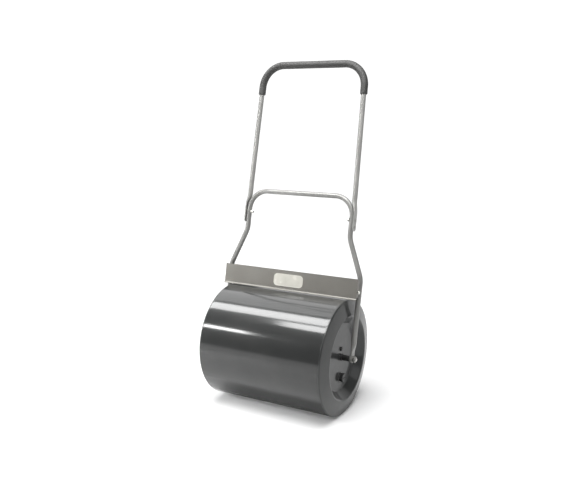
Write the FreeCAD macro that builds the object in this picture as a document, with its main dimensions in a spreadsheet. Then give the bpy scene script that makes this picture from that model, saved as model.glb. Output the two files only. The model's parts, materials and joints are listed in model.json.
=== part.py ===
# Water-ballast lawn roller, millimetres.
#
# Frame of the model: origin on the ground below the middle of the axle, +Z up,
# the axle along X, the filler end of the drum at +X, and the handle leaning
# back towards +Y. The bent tube frame, the handle, the scraper and their
# fasteners are drawn in the plane of the frame (local X across, local Z up
# along the legs from the axle, local Y square to that plane) and stand on the
# axle with one placement that leans them back.
import FreeCAD, Part
import Sketcher
import math
import os

V = FreeCAD.Vector
os.makedirs("parts", exist_ok=True)
doc = FreeCAD.newDocument("lawn_roller")

# ---------------------------------------------------------------- dimensions
SIZES = [
    ("drum_radius", 185.0, "outside radius of the rolled drum shell"),
    ("shell_half", 206.5, "half length of the straight shell"),
    ("shell_wall", 1.5, "sheet of the shell"),
    ("cap_wall", 1.8, "sheet of the pressed ends"),
    ("cap_edge", 211.5, "where the pressed end turns out of its corner"),
    ("cap_crown", 223.5, "crown of the pressed end, furthest out"),
    ("crown_radius", 133.0, "radius of the crown"),
    ("floor_out", 197.5, "outer face of the dished floor"),
    ("floor_radius", 108.0, "radius of the dished floor"),
    ("edge_round", 5.0, "outside corner radius of the pressed end"),
    ("crown_round", 9.0, "outside radius of the crown"),
    ("floor_round", 6.0, "corner radius at the dished floor"),
    ("tube_radius", 10.0, "centre tube outside radius"),
    ("tube_bore", 8.0, "centre tube inside radius"),
    ("tube_half", 201.5, "half length of the centre tube"),
    ("axle_height", 185.0, "axle above the ground"),
    ("axle_radius", 6.0, "axle rod radius"),
    ("axle_half", 251.0, "half length of the axle rod"),
    ("bush_bore", 6.06, "running radius of the nylon bushes"),
    ("bush_depth", 20.0, "how far a bush reaches into the centre tube"),
    ("bush_flange", 12.0, "bush flange radius"),
    ("flange_thick", 3.0, "bush flange thickness"),
    ("sleeve_start", 205.0, "inner end of a spacer sleeve"),
    ("sleeve_end", 228.5, "outer end of a spacer sleeve"),
    ("sleeve_radius", 9.0, "spacer sleeve outside radius"),
    ("jam_thick", 6.0, "thickness of the thin inner nut"),
    ("nut_flats", 18.0, "width across the flats of the axle nuts"),
    ("nut_thick", 8.0, "thickness of the outer axle nut"),
    ("washer_thick", 1.6, "axle washer thickness"),
    ("washer_radius", 11.0, "axle washer radius"),
    ("lean_back", 12.0, "angle of the frame behind the vertical, degrees"),
    ("leg_side", 236.5, "middle of each leg from the centre line"),
    ("pipe_radius", 8.0, "outside radius of both bent tubes"),
    ("pipe_wall", 1.5, "wall of both bent tubes"),
    ("eye_thick", 4.0, "thickness of the flattened leg end"),
    ("eye_width", 24.0, "width of the flattened leg end"),
    ("eye_top", 22.0, "top of the flattened part above the axle"),
    ("press_top", 48.0, "top of the change from round to flat"),
    ("kink_low", 250.0, "lower kink of a leg"),
    ("kink_high", 372.0, "upper kink of a leg"),
    ("neck_side", 186.5, "legs above the upper kink"),
    ("cross_high", 501.0, "cross bar centre line"),
    ("kink_bend", 75.0, "bend radius of the kinks"),
    ("cross_bend", 62.0, "bend radius of the cross bar corners"),
    ("handle_foot", 395.0, "lower end of the flattened handle tube"),
    ("flat_thick", 4.5, "thickness of the flattened handle end"),
    ("flat_width", 22.0, "width of the flattened handle end"),
    ("flat_top", 450.0, "top of the flattened part"),
    ("half_flat", 466.0, "level where the handle tube is half pressed"),
    ("half_side", 194.45, "middle of the half pressed tube, across"),
    ("half_thick", 7.9, "thickness of the half pressed tube"),
    ("half_width", 19.6, "width of the half pressed tube"),
    ("handle_round", 492.0, "where the handle tube is round"),
    ("handle_side", 189.4, "handle tube where it is round"),
    ("handle_kink", 508.0, "where the handle tube turns inward"),
    ("handle_top_side", 180.2, "corner of the handle, across"),
    ("handle_top", 915.0, "top bar centre line of the handle"),
    ("handle_bend", 72.0, "bend radius of the handle corners"),
    ("handle_kink_bend", 220.0, "bend radius of the slight handle kink"),
    ("grip_radius", 11.7, "outside radius of the foam grip"),
    ("grip_bore", 8.0, "bore of the foam grip"),
    ("grip_start", 819.0, "lower end of the foam grip"),
    ("joint_low", 409.0, "lower handle screw"),
    ("joint_high", 430.0, "upper handle bolt"),
    ("bolt_radius", 3.0, "small bolt shank radius"),
    ("bolt_hole", 3.2, "clearance hole radius for the small bolts"),
    ("bolt_flats", 10.0, "small bolt width across flats"),
    ("head_thick", 4.0, "small bolt head thickness"),
    ("dome_radius", 6.0, "domed handle bolt head radius"),
    ("dome_high", 2.6, "domed handle bolt head height"),
    ("small_nut", 5.0, "small nut thickness"),
    ("plate_front", 28.0, "front face of the scraper plate ahead of the legs"),
    ("plate_wall", 2.0, "sheet of the scraper plate"),
    ("plate_half", 240.0, "half width of the scraper plate"),
    ("plate_top", 250.0, "top edge of the scraper plate"),
    ("lip_start", 189.0, "where the scraping lip turns forward"),
    ("lip_reach", 32.0, "front of the scraping lip ahead of the legs"),
    ("lip_low", 185.6, "bottom of the scraping lip"),
    ("return_depth", 18.5, "depth of the side returns"),
    ("return_low", 193.0, "lower edge of the side returns"),
    ("return_top", 246.0, "upper edge of the side returns"),
    ("fix_height", 209.0, "scraper bolt above the axle"),
    ("fix_front", 18.0, "scraper bolt ahead of the legs"),
    ("lug_thick", 3.0, "welded lug thickness"),
    ("badge_half", 53.0, "half width of the blank badge"),
    ("badge_low", 198.0, "lower edge of the badge"),
    ("badge_high", 238.0, "upper edge of the badge"),
    ("badge_thick", 1.0, "badge thickness"),
    ("badge_round", 13.0, "badge corner radius"),
    ("plug_drop", 67.0, "filler below the axle"),
    ("socket_radius", 16.0, "threaded socket outside radius"),
    ("socket_bore", 11.0, "threaded socket bore radius"),
    ("socket_inner", 188.5, "inner end of the socket"),
    ("socket_outer", 199.0, "outer face of the socket"),
    ("seal_thick", 1.5, "sealing ring thickness"),
    ("seal_radius", 13.5, "sealing ring outside radius"),
    ("plug_stem", 10.9, "plug thread radius"),
    ("plug_tip", 190.0, "inner end of the plug"),
    ("plug_head", 14.0, "plug head radius"),
    ("plug_face", 210.5, "outer face of the plug"),
    ("vent_rise", 27.0, "vent screw above the axle"),
    ("vent_radius", 4.0, "vent screw shank radius"),
    ("vent_head", 6.5, "vent screw head radius"),
]
dims = doc.addObject("Spreadsheet::Sheet", "dims")
for row, (alias, number, note) in enumerate(SIZES, start=1):
    dims.set("A%d" % row, alias)
    dims.set("B%d" % row, repr(number))
    dims.set("C%d" % row, note)
    dims.setAlias("B%d" % row, alias)
doc.recompute()


class Q:
    """A size that carries its number and the expression that drives it."""

    def __init__(self, number, text):
        self.n = float(number)
        self.t = text

    @staticmethod
    def of(other):
        return other if isinstance(other, Q) else Q(other, "(%r)" % float(other))

    def __add__(self, other):
        o = Q.of(other)
        return Q(self.n + o.n, "(%s + %s)" % (self.t, o.t))

    def __radd__(self, other):
        return Q.of(other) + self

    def __sub__(self, other):
        o = Q.of(other)
        return Q(self.n - o.n, "(%s - %s)" % (self.t, o.t))

    def __rsub__(self, other):
        return Q.of(other) - self

    def __mul__(self, other):
        o = Q.of(other)
        return Q(self.n * o.n, "(%s * %s)" % (self.t, o.t))

    def __rmul__(self, other):
        return Q.of(other) * self

    def __truediv__(self, other):
        o = Q.of(other)
        return Q(self.n / o.n, "(%s / %s)" % (self.t, o.t))

    def __neg__(self):
        return Q(-self.n, "(0 - %s)" % self.t)


def d(alias):
    return Q(dims.get(alias), "dims.%s" % alias)


NODES = {}          # node name -> document object


def node(name, obj):
    obj.Label = name
    NODES[name] = obj
    return obj


# ---------------------------------------------------------------- placements
UPRIGHT = FreeCAD.Placement(V(0, 0, d("axle_height").n), FreeCAD.Rotation())
LEANING = FreeCAD.Placement(
    V(0, 0, d("axle_height").n),
    FreeCAD.Rotation(V(-1, 0, 0), d("lean_back").n))


def stand(obj, leaning):
    """Put an object drawn about the axle at its height, leaning or upright."""
    obj.Placement = LEANING if leaning else UPRIGHT
    obj.setExpression(".Placement.Base.z", "dims.axle_height")
    if leaning:
        obj.setExpression(".Placement.Rotation.Angle", "dims.lean_back")
    return obj


# ------------------------------------------------------------ sketch helpers
def new_body(name, leaning=False):
    body = doc.addObject("PartDesign::Body", name + "_body")
    stand(body, leaning)
    node(name, body)
    return body


def plane(body, role):
    for item in body.Origin.OriginFeatures:
        if item.Role == role:
            return item
    raise RuntimeError("no plane " + role)


def new_sketch(body, name, role, offset=None):
    sk = body.newObject("Sketcher::SketchObject", name)
    sk.AttachmentSupport = (plane(body, role), [""])
    sk.MapMode = "FlatFace"
    if offset is not None:
        offset = Q.of(offset)
        sk.AttachmentOffset = FreeCAD.Placement(V(0, 0, offset.n), FreeCAD.Rotation())
        sk.setExpression(".AttachmentOffset.Base.z", offset.t)
    return sk


def drive(sk, constraint, size):
    index = sk.addConstraint(constraint)
    sk.setExpression("Constraints[%d]" % index, size.t)


def pin(sk, geo, pos, x, y):
    """Hold a sketch point at the driven place x, y."""
    x, y = Q.of(x), Q.of(y)
    if x.n == 0 and y.n == 0:
        sk.addConstraint(Sketcher.Constraint("Coincident", geo, pos, -1, 1))
        return
    if x.n == 0:
        sk.addConstraint(Sketcher.Constraint("PointOnObject", geo, pos, -2))
    elif x.n > 0:
        drive(sk, Sketcher.Constraint("DistanceX", -1, 1, geo, pos, x.n), x)
    else:
        drive(sk, Sketcher.Constraint("DistanceX", geo, pos, -1, 1, -x.n), -x)
    if y.n == 0:
        sk.addConstraint(Sketcher.Constraint("PointOnObject", geo, pos, -1))
    elif y.n > 0:
        drive(sk, Sketcher.Constraint("DistanceY", -1, 1, geo, pos, y.n), y)
    else:
        drive(sk, Sketcher.Constraint("DistanceY", geo, pos, -1, 1, -y.n), -y)


def ring(sk, x, y, *radii):
    """Concentric circles about x, y."""
    x, y = Q.of(x), Q.of(y)
    for radius in radii:
        radius = Q.of(radius)
        g = sk.addGeometry(Part.Circle(V(x.n, y.n, 0), V(0, 0, 1), radius.n), False)
        pin(sk, g, 3, x, y)
        drive(sk, Sketcher.Constraint("Radius", g, radius.n), radius)


def outline(sk, points, rounds=None, closed=True):
    """Straight runs through driven corner points, each corner sharp or with a
    tangent arc of a driven radius."""
    pts = [(Q.of(x), Q.of(y)) for x, y in points]
    count = len(pts)
    rounds = list(rounds) if rounds else [None] * count
    if not closed:
        rounds[0] = rounds[-1] = None
    entry, leave, arcs = [None] * count, [None] * count, [None] * count
    for i in range(count):
        p = V(pts[i][0].n, pts[i][1].n, 0)
        entry[i] = leave[i] = p
        if rounds[i] is None:
            continue
        r = Q.of(rounds[i])
        a = V(pts[i - 1][0].n, pts[i - 1][1].n, 0) - p
        b = V(pts[(i + 1) % count][0].n, pts[(i + 1) % count][1].n, 0) - p
        a.normalize()
        b.normalize()
        half = a.getAngle(b) / 2
        entry[i] = p + a * (r.n / math.tan(half))
        leave[i] = p + b * (r.n / math.tan(half))
        mid = a + b
        mid.normalize()
        centre = p + mid * (r.n / math.sin(half))
        turn_left = ((p - entry[i]).cross(leave[i] - p)).z > 0
        start, end = (entry[i], leave[i]) if turn_left else (leave[i], entry[i])
        a0 = math.atan2(start.y - centre.y, start.x - centre.x)
        a1 = math.atan2(end.y - centre.y, end.x - centre.x)
        if a1 < a0:
            a1 += 2 * math.pi
        g = sk.addGeometry(Part.ArcOfCircle(
            Part.Circle(centre, V(0, 0, 1), r.n), a0, a1), False)
        arcs[i] = (g, 1 if turn_left else 2, 2 if turn_left else 1, r)
    lines = []
    runs = count if closed else count - 1
    for i in range(runs):
        j = (i + 1) % count
        lines.append(sk.addGeometry(Part.LineSegment(leave[i], entry[j]), False))
    for i in range(count):
        before = lines[i - 1] if (closed or i > 0) else None
        after = lines[i] if i < runs else None
        if arcs[i] is None:
            if before is not None and after is not None:
                sk.addConstraint(Sketcher.Constraint("Coincident", before, 2, after, 1))
            if after is not None:
                pin(sk, after, 1, *pts[i])
            else:
                pin(sk, before, 2, *pts[i])
            continue
        g, pos_in, pos_out, r = arcs[i]
        sk.addConstraint(Sketcher.Constraint("Tangent", before, 2, g, pos_in))
        sk.addConstraint(Sketcher.Constraint("Tangent", g, pos_out, after, 1))
        drive(sk, Sketcher.Constraint("Radius", g, r.n), r)
        c = sk.addGeometry(Part.Point(V(pts[i][0].n, pts[i][1].n, 0)), True)
        sk.addConstraint(Sketcher.Constraint("PointOnObject", c, 1, before))
        sk.addConstraint(Sketcher.Constraint("PointOnObject", c, 1, after))
        pin(sk, c, 1, *pts[i])


def pad(body, sk, length, reverse=False):
    f = body.newObject("PartDesign::Pad", sk.Name + "_pad")
    f.Profile = sk
    f.Length = Q.of(length).n
    f.setExpression("Length", Q.of(length).t)
    f.Reversed = reverse
    sk.Visibility = False
    body.Tip = f
    return f


def pocket(body, sk, length, reverse=False):
    """Cut a sketch out of the body, and make sure that it does cut."""
    doc.recompute()
    before = body.Tip.Shape.Volume
    f = body.newObject("PartDesign::Pocket", sk.Name + "_cut")
    f.Profile = sk
    f.Length = Q.of(length).n
    f.setExpression("Length", Q.of(length).t)
    f.Reversed = reverse
    body.Tip = f
    doc.recompute()
    if not f.Shape.Volume < before - 1e-6:
        f.Reversed = not reverse
        doc.recompute()
    if not f.Shape.Volume < before - 1e-6:
        raise RuntimeError(sk.Name + " cuts nothing")
    return f


def revolve(body, sk, axis="H_Axis"):
    f = body.newObject("PartDesign::Revolution", sk.Name + "_turned")
    f.Profile = sk
    f.ReferenceAxis = (sk, [axis])
    f.Angle = 360.0
    body.Tip = f
    return f


def mirror_body(body):
    """The other half of a symmetric piece, about the middle plane."""
    base = body.Tip
    f = body.newObject("PartDesign::Mirrored", body.Name + "_mirror")
    f.TransformMode = "Whole shape"
    f.BaseFeature = base
    f.MirrorPlane = (plane(body, "YZ_Plane"), [""])
    body.Tip = f
    return f


def edges_where(shape, test):
    return ["Edge%d" % (i + 1) for i, e in enumerate(shape.Edges) if test(e)]


def dress(body, kind, size, test, name):
    """Fillet or chamfer the edges that pass a test."""
    doc.recompute()
    tip = body.Tip
    names = edges_where(tip.Shape, test)
    if not names:
        raise RuntimeError("no edges for " + name)
    f = body.newObject("PartDesign::" + kind, name)
    f.Base = (tip, names)
    prop = "Radius" if kind == "Fillet" else "Size"
    setattr(f, prop, size)
    body.Tip = f
    doc.recompute()
    return f


def circle_edge(x, radius=None):
    """Test for whole circular edges in the plane X = x of the body."""
    def test(e):
        if not isinstance(e.Curve, Part.Circle):
            return False
        if abs(e.BoundBox.XMin - x) > 0.01 or abs(e.BoundBox.XMax - x) > 0.01:
            return False
        return radius is None or abs(e.Curve.Radius - radius) < 0.01
    return test


# ------------------------------------------------------------- lower frame
# One tube bent into a portal: legs down to the axle, two kinks that bring the
# legs in above the drum, and the cross bar. The leg ends are pressed flat.
body = new_body("lower_frame", leaning=True)
sk_path = new_sketch(body, "leg_path", "XZ_Plane")
outline(sk_path,
        [(d("leg_side"), d("press_top")),
         (d("leg_side"), d("kink_low")),
         (d("neck_side"), d("kink_high")),
         (d("neck_side"), d("cross_high")),
         (0, d("cross_high"))],
        [None, d("kink_bend"), d("kink_bend"), d("cross_bend"), None], closed=False)
sk_ring = new_sketch(body, "leg_section", "XY_Plane", d("press_top"))
ring(sk_ring, d("leg_side"), 0, d("pipe_radius"), d("pipe_radius") - d("pipe_wall"))
doc.recompute()
pipe = body.newObject("PartDesign::AdditivePipe", "leg_tube")
pipe.Profile = sk_ring
pipe.Spine = sk_path
body.Tip = pipe
doc.recompute()


def slot(sk, x, reach, r):
    """Long hole outline about x, standing along the second sketch axis."""
    cx, ry, rr = x.n, (reach - r).n, r.n
    a = sk.addGeometry(Part.LineSegment(V(cx + rr, -ry, 0), V(cx + rr, ry, 0)), False)
    b = sk.addGeometry(Part.ArcOfCircle(
        Part.Circle(V(cx, ry, 0), V(0, 0, 1), rr), 0, math.pi), False)
    c = sk.addGeometry(Part.LineSegment(V(cx - rr, ry, 0), V(cx - rr, -ry, 0)), False)
    e = sk.addGeometry(Part.ArcOfCircle(
        Part.Circle(V(cx, -ry, 0), V(0, 0, 1), rr), math.pi, 2 * math.pi), False)
    for g, h in ((a, b), (b, c), (c, e), (e, a)):
        sk.addConstraint(Sketcher.Constraint("Tangent", g, 2, h, 1))
    pin(sk, b, 3, x, reach - r)
    pin(sk, e, 3, x, -(reach - r))
    drive(sk, Sketcher.Constraint("Radius", b, rr), r)


# The change from the round tube to the flat eye, then the eye itself.
loft_top = new_sketch(body, "press_round", "XY_Plane", d("press_top"))
ring(loft_top, d("leg_side"), 0, d("pipe_radius"))
loft_low = new_sketch(body, "press_flat", "XY_Plane", d("eye_top"))
slot(loft_low, d("leg_side"), d("eye_width") / 2, d("eye_thick") / 2)
doc.recompute()
loft = body.newObject("PartDesign::AdditiveLoft", "pressed_change")
loft.Profile = loft_top
loft.Sections = [(loft_low, [""])]
loft.Ruled = False
body.Tip = loft
doc.recompute()

eye = new_sketch(body, "eye_outline", "YZ_Plane", d("leg_side") - d("eye_thick") / 2)
half = d("eye_width") / 2
outline(eye, [(half, d("eye_top")), (-half, d("eye_top")), (-half, -half - 1), (half, -half - 1)],
        [None, None, half - 0.5, half - 0.5])
pad(body, eye, d("eye_thick"))
mirror_body(body)
axle_hole = new_sketch(body, "axle_hole", "YZ_Plane", -(d("leg_side") + 20))
ring(axle_hole, 0, 0, d("axle_radius") + 0.2)
pocket(body, axle_hole, 2 * d("leg_side") + 40, reverse=True)
joint_holes = new_sketch(body, "joint_holes", "YZ_Plane", -(d("neck_side") + 30))
ring(joint_holes, 0, d("joint_high"), d("bolt_hole"))
pocket(body, joint_holes, 2 * d("neck_side") + 60, reverse=True)
neck_out = d("neck_side") + d("pipe_radius")
for tag, s in (("right", 1), ("left", -1)):
    screw_hole = new_sketch(body, "screw_hole_" + tag, "YZ_Plane",
                            neck_out + 2 if s > 0 else -(neck_out + 2))
    ring(screw_hole, 0, d("joint_low"), d("bolt_radius"))
    pocket(body, screw_hole, d("pipe_radius"), reverse=s < 0)

# ------------------------------------------------------------ upper handle
# A second bent tube. Its lower ends are pressed flat and bolted to the outside
# of the neck of the frame.
slope = (d("handle_side") - d("handle_top_side")) / (d("handle_top") - d("handle_kink"))
grip_side = d("handle_side") - (d("grip_start") - d("handle_kink")) * slope
flat_mid = neck_out + d("flat_thick") / 2

body = new_body("upper_handle", leaning=True)
sk_path = new_sketch(body, "handle_path", "XZ_Plane")
outline(sk_path,
        [(d("handle_side"), d("handle_round")),
         (d("handle_side"), d("handle_kink")),
         (d("handle_top_side"), d("handle_top")),
         (0, d("handle_top"))],
        [None, d("handle_kink_bend"), d("handle_bend"), None], closed=False)
sk_ring = new_sketch(body, "handle_section", "XY_Plane", d("handle_round"))
ring(sk_ring, d("handle_side"), 0, d("pipe_radius"), d("pipe_radius") - d("pipe_wall"))
doc.recompute()
pipe = body.newObject("PartDesign::AdditivePipe", "handle_tube")
pipe.Profile = sk_ring
pipe.Spine = sk_path
body.Tip = pipe
doc.recompute()
half_upper = new_sketch(body, "half_pressed", "XY_Plane", d("half_flat"))
slot(half_upper, d("half_side"), d("half_width") / 2, d("half_thick") / 2)
round_end = new_sketch(body, "handle_round_end", "XY_Plane", d("handle_round"))
ring(round_end, d("handle_side"), 0, d("pipe_radius"))
flat_end = new_sketch(body, "handle_flat_end", "XY_Plane", d("flat_top"))
slot(flat_end, flat_mid, d("flat_width") / 2, d("flat_thick") / 2)
doc.recompute()
for name, upper, lower in (("upper_change", round_end, half_upper), ("lower_change", half_upper, flat_end)):
    loft = body.newObject("PartDesign::AdditiveLoft", name)
    loft.Profile = upper
    loft.Sections = [(lower, [""])]
    loft.Ruled = False
    body.Tip = loft
    doc.recompute()
tongue = new_sketch(body, "handle_tongue", "YZ_Plane", neck_out)
half = d("flat_width") / 2
outline(tongue, [(half, d("flat_top")), (-half, d("flat_top")),
                 (-half, d("handle_foot")), (half, d("handle_foot"))],
        [None, None, 9.0, 9.0])
pad(body, tongue, d("flat_thick"))
mirror_body(body)
joint_holes = new_sketch(body, "handle_holes", "YZ_Plane", -(d("handle_side") + 20))
ring(joint_holes, 0, d("joint_low"), d("bolt_hole"))
ring(joint_holes, 0, d("joint_high"), d("bolt_hole"))
pocket(body, joint_holes, 2 * d("handle_side") + 40, reverse=True)

# -------------------------------------------------------------- foam grip
# One sleeve over the top bar and both corners.
body = new_body("foam_grip", leaning=True)
sk_path = new_sketch(body, "grip_path", "XZ_Plane")
outline(sk_path,
        [(grip_side, d("grip_start")),
         (d("handle_top_side"), d("handle_top")),
         (0, d("handle_top"))],
        [None, d("handle_bend"), None], closed=False)
sk_ring = new_sketch(body, "grip_section", "YZ_Plane")
ring(sk_ring, 0, d("handle_top"), d("grip_radius"), d("grip_bore"))
doc.recompute()
pipe = body.newObject("PartDesign::AdditivePipe", "grip_sleeve")
pipe.Profile = sk_ring
pipe.Spine = sk_path
body.Tip = pipe
doc.recompute()
mirror_body(body)

# ---------------------------------------------------------- scraper plate
# Folded sheet ahead of the legs: a flat face, a lip turned forward just above
# the drum, and a return at each side that takes the fixing bolt.
body = new_body("scraper_plate", leaning=True)
front, wall = d("plate_front"), d("plate_wall")
face = new_sketch(body, "plate_profile", "YZ_Plane", -d("plate_half"))
outline(face,
        [(-front, d("plate_top")),
         (-front, d("lip_start")),
         (-d("lip_reach"), d("lip_low")),
         (-d("lip_reach") + 1.41, d("lip_low") - 1.41),
         (wall - front, d("lip_start") - 0.83),
         (wall - front, d("plate_top"))],
        [None, 2.0, None, None, 4.0, None])
pad(body, face, 2 * d("plate_half"))
side = new_sketch(body, "return_outline", "YZ_Plane", d("plate_half") - wall)
outline(side,
        [(0.5 * wall - front, d("return_low")),
         (d("return_depth") - front, d("return_low")),
         (d("return_depth") - front, d("return_top")),
         (0.5 * wall - front, d("return_top"))],
        [None, 6.0, 6.0, None])
pad(body, side, wall)
other = new_sketch(body, "return_other", "YZ_Plane", -d("plate_half"))
outline(other,
        [(0.5 * wall - front, d("return_low")),
         (d("return_depth") - front, d("return_low")),
         (d("return_depth") - front, d("return_top")),
         (0.5 * wall - front, d("return_top"))],
        [None, 6.0, 6.0, None])
pad(body, other, wall)
holes = new_sketch(body, "fixing_holes", "YZ_Plane", -d("plate_half") - 5)
ring(holes, -d("fix_front"), d("fix_height"), d("bolt_hole"))
pocket(body, holes, 2 * d("plate_half") + 10, reverse=True)

# ------------------------------------------------------------------ badge
# Blank stuck-on badge in the middle of the face, with a raised rim.
body = new_body("badge", leaning=True)
sk = new_sketch(body, "badge_outline", "XZ_Plane", front)
outline(sk, [(-d("badge_half"), d("badge_low")), (d("badge_half"), d("badge_low")),
             (d("badge_half"), d("badge_high")), (-d("badge_half"), d("badge_high"))],
        [d("badge_round")] * 4)
pad(body, sk, d("badge_thick"))
rim = new_sketch(body, "badge_field", "XZ_Plane", front + d("badge_thick"))
edge = 2.0
outline(rim, [(edge - d("badge_half"), d("badge_low") + edge), (d("badge_half") - edge, d("badge_low") + edge),
              (d("badge_half") - edge, d("badge_high") - edge), (edge - d("badge_half"), d("badge_high") - edge)],
        [d("badge_round") - edge] * 4)
pocket(body, rim, 0.35)

# ------------------------------------------------------------- drum shell
body = new_body("drum_shell")
sk = new_sketch(body, "shell_section", "YZ_Plane", -d("shell_half"))
ring(sk, 0, 0, d("drum_radius"), d("drum_radius") - d("shell_wall"))
pad(body, sk, 2 * d("shell_half"))

# --------------------------------------------------------- dished drum ends
# Pressed steel ends: rounded outer corner, crowned ring, conical wall and a
# flat floor that carries the centre tube. The +X end also carries the filler.
thick = d("cap_wall")


def cap_profile(sk, sign):
    def at(x, r):
        return (x if sign > 0 else -x, r)
    outline(sk, [
        at(d("shell_half"), d("drum_radius")),
        at(d("cap_edge"), d("drum_radius")),
        at(d("cap_crown"), d("crown_radius")),
        at(d("floor_out"), d("floor_radius")),
        at(d("floor_out"), d("tube_radius")),
        at(d("floor_out") - thick, d("tube_radius")),
        at(d("floor_out") - thick, d("floor_radius") + 0.426 * thick),
        at(d("cap_crown") - 1.102 * thick, d("crown_radius") + 0.328 * thick),
        at(d("cap_edge") - 0.796 * thick, d("drum_radius") - thick),
        at(d("shell_half"), d("drum_radius") - thick),
    ], [None, d("edge_round"), d("crown_round"), d("floor_round"), None,
        None, d("floor_round") + thick, d("crown_round") - thick, d("edge_round") - thick, None])


for name, sign in (("end_cap_right", 1), ("end_cap_left", -1)):
    body = new_body(name)
    sk = new_sketch(body, name + "_profile", "XZ_Plane")
    cap_profile(sk, sign)
    doc.recompute()
    revolve(body, sk)
    doc.recompute()
    if sign > 0:
        hole = new_sketch(body, "filler_hole", "YZ_Plane", d("floor_out") - 20)
        ring(hole, 0, -d("plug_drop"), d("socket_radius"))
        ring(hole, 0, d("vent_rise"), d("vent_radius"))
        pocket(body, hole, 30, reverse=True)

# ------------------------------------------------------------ centre tube
body = new_body("centre_tube")
sk = new_sketch(body, "centre_section", "YZ_Plane", -d("tube_half"))
ring(sk, 0, 0, d("tube_radius"), d("tube_bore"))
pad(body, sk, 2 * d("tube_half"))

# ------------------------------------------------------------ nylon bushes
for name, sign in (("bush_right", 1), ("bush_left", -1)):
    body = new_body(name)
    sk = new_sketch(body, name + "_profile", "XZ_Plane")
    pts = [(d("tube_half") - d("bush_depth"), d("bush_bore")),
           (d("tube_half") + d("flange_thick"), d("bush_bore")),
           (d("tube_half") + d("flange_thick"), d("bush_flange")),
           (d("tube_half"), d("bush_flange")),
           (d("tube_half"), d("tube_bore")),
           (d("tube_half") - d("bush_depth"), d("tube_bore"))]
    outline(sk, [(x if sign > 0 else -x, r) for x, r in pts],
            [None, None, 1.0, None, None, None])
    doc.recompute()
    revolve(body, sk)

# ---------------------------------------------------------- threaded socket
body = new_body("filler_socket")
sk = new_sketch(body, "socket_section", "YZ_Plane", d("socket_inner"))
ring(sk, 0, -d("plug_drop"), d("socket_radius"), d("socket_bore"))
pad(body, sk, d("socket_outer") - d("socket_inner"))
dress(body, "Chamfer", 0.8, circle_edge(d("socket_outer").n, d("socket_radius").n), "socket_edge")

# ------------------------------------------------------------ sealing ring
body = new_body("plug_seal")
sk = new_sketch(body, "seal_section", "YZ_Plane", d("socket_outer"))
ring(sk, 0, -d("plug_drop"), d("seal_radius"), d("plug_stem") + 0.1)
pad(body, sk, d("seal_thick"))

# ------------------------------------------------------------- filler plug
# Threaded stem, knurled head with twelve finger flutes and a coin slot.
body = new_body("filler_plug")
sk = new_sketch(body, "stem_section", "YZ_Plane", d("plug_tip"))
ring(sk, 0, -d("plug_drop"), d("plug_stem"))
pad(body, sk, d("socket_outer") + d("seal_thick") - d("plug_tip"))
sk = new_sketch(body, "head_section", "YZ_Plane", d("socket_outer") + d("seal_thick"))
ring(sk, 0, -d("plug_drop"), d("plug_head"))
pad(body, sk, d("plug_face") - d("socket_outer") - d("seal_thick"))
dress(body, "Fillet", 1.6, circle_edge(d("plug_face").n, d("plug_head").n), "head_edge")
FLUTES = 12
for k in range(FLUTES):
    a = 2 * math.pi * (k + 0.5) / FLUTES
    off = 1.0 * d("plug_head") + 0.9
    if k == 0:
        flutes = new_sketch(body, "head_flutes", "YZ_Plane", d("socket_outer") + d("seal_thick") + 1.5)
    ring(flutes, off * round(math.cos(a), 6), off * round(math.sin(a), 6) - d("plug_drop"), 2.2)
pocket(body, flutes, 20, reverse=True)
coin = new_sketch(body, "coin_slot", "YZ_Plane", d("plug_face"))
outline(coin, [(-8.0, -d("plug_drop") - 1.4), (8.0, -d("plug_drop") - 1.4),
               (8.0, -d("plug_drop") + 1.4), (-8.0, -d("plug_drop") + 1.4)])
pocket(body, coin, 3.0)

# -------------------------------------------------------------- vent screw
body = new_body("vent_screw")
sk = new_sketch(body, "vent_stem", "YZ_Plane", d("floor_out") - 9)
ring(sk, 0, d("vent_rise"), d("vent_radius"))
pad(body, sk, 9)
sk = new_sketch(body, "vent_top", "YZ_Plane", d("floor_out"))
ring(sk, 0, d("vent_rise"), d("vent_head"))
pad(body, sk, 4.5)
dress(body, "Fillet", 2.0, circle_edge(d("floor_out").n + 4.5, d("vent_head").n), "vent_dome")
sk = new_sketch(body, "vent_slot", "YZ_Plane", d("floor_out") + 4.5)
outline(sk, [(-4.5, d("vent_rise") - 0.7), (4.5, d("vent_rise") - 0.7),
             (4.5, d("vent_rise") + 0.7), (-4.5, d("vent_rise") + 0.7)])
pocket(body, sk, 1.8)

# --------------------------------------------------------------- axle rod
body = new_body("axle")
sk = new_sketch(body, "axle_section", "YZ_Plane", -d("axle_half"))
ring(sk, 0, 0, d("axle_radius"))
pad(body, sk, 2 * d("axle_half"))
dress(body, "Chamfer", 1.2, lambda e: isinstance(e.Curve, Part.Circle), "axle_ends")

# ------------------------------------------ turned and hexagonal fastenings
ALONG_X = FreeCAD.Rotation(V(0, 1, 0), 90)


def cylinder(name, x0, length, radius, y=0, z=0):
    c = doc.addObject("Part::Cylinder", name)
    x0, length, radius, y, z = (Q.of(v) for v in (x0, length, radius, y, z))
    c.Radius, c.Height = radius.n, length.n
    c.setExpression("Radius", radius.t)
    c.setExpression("Height", length.t)
    c.Placement = FreeCAD.Placement(V(x0.n, y.n, z.n), ALONG_X)
    c.setExpression(".Placement.Base.x", x0.t)
    c.setExpression(".Placement.Base.y", y.t)
    c.setExpression(".Placement.Base.z", z.t)
    return c


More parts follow.
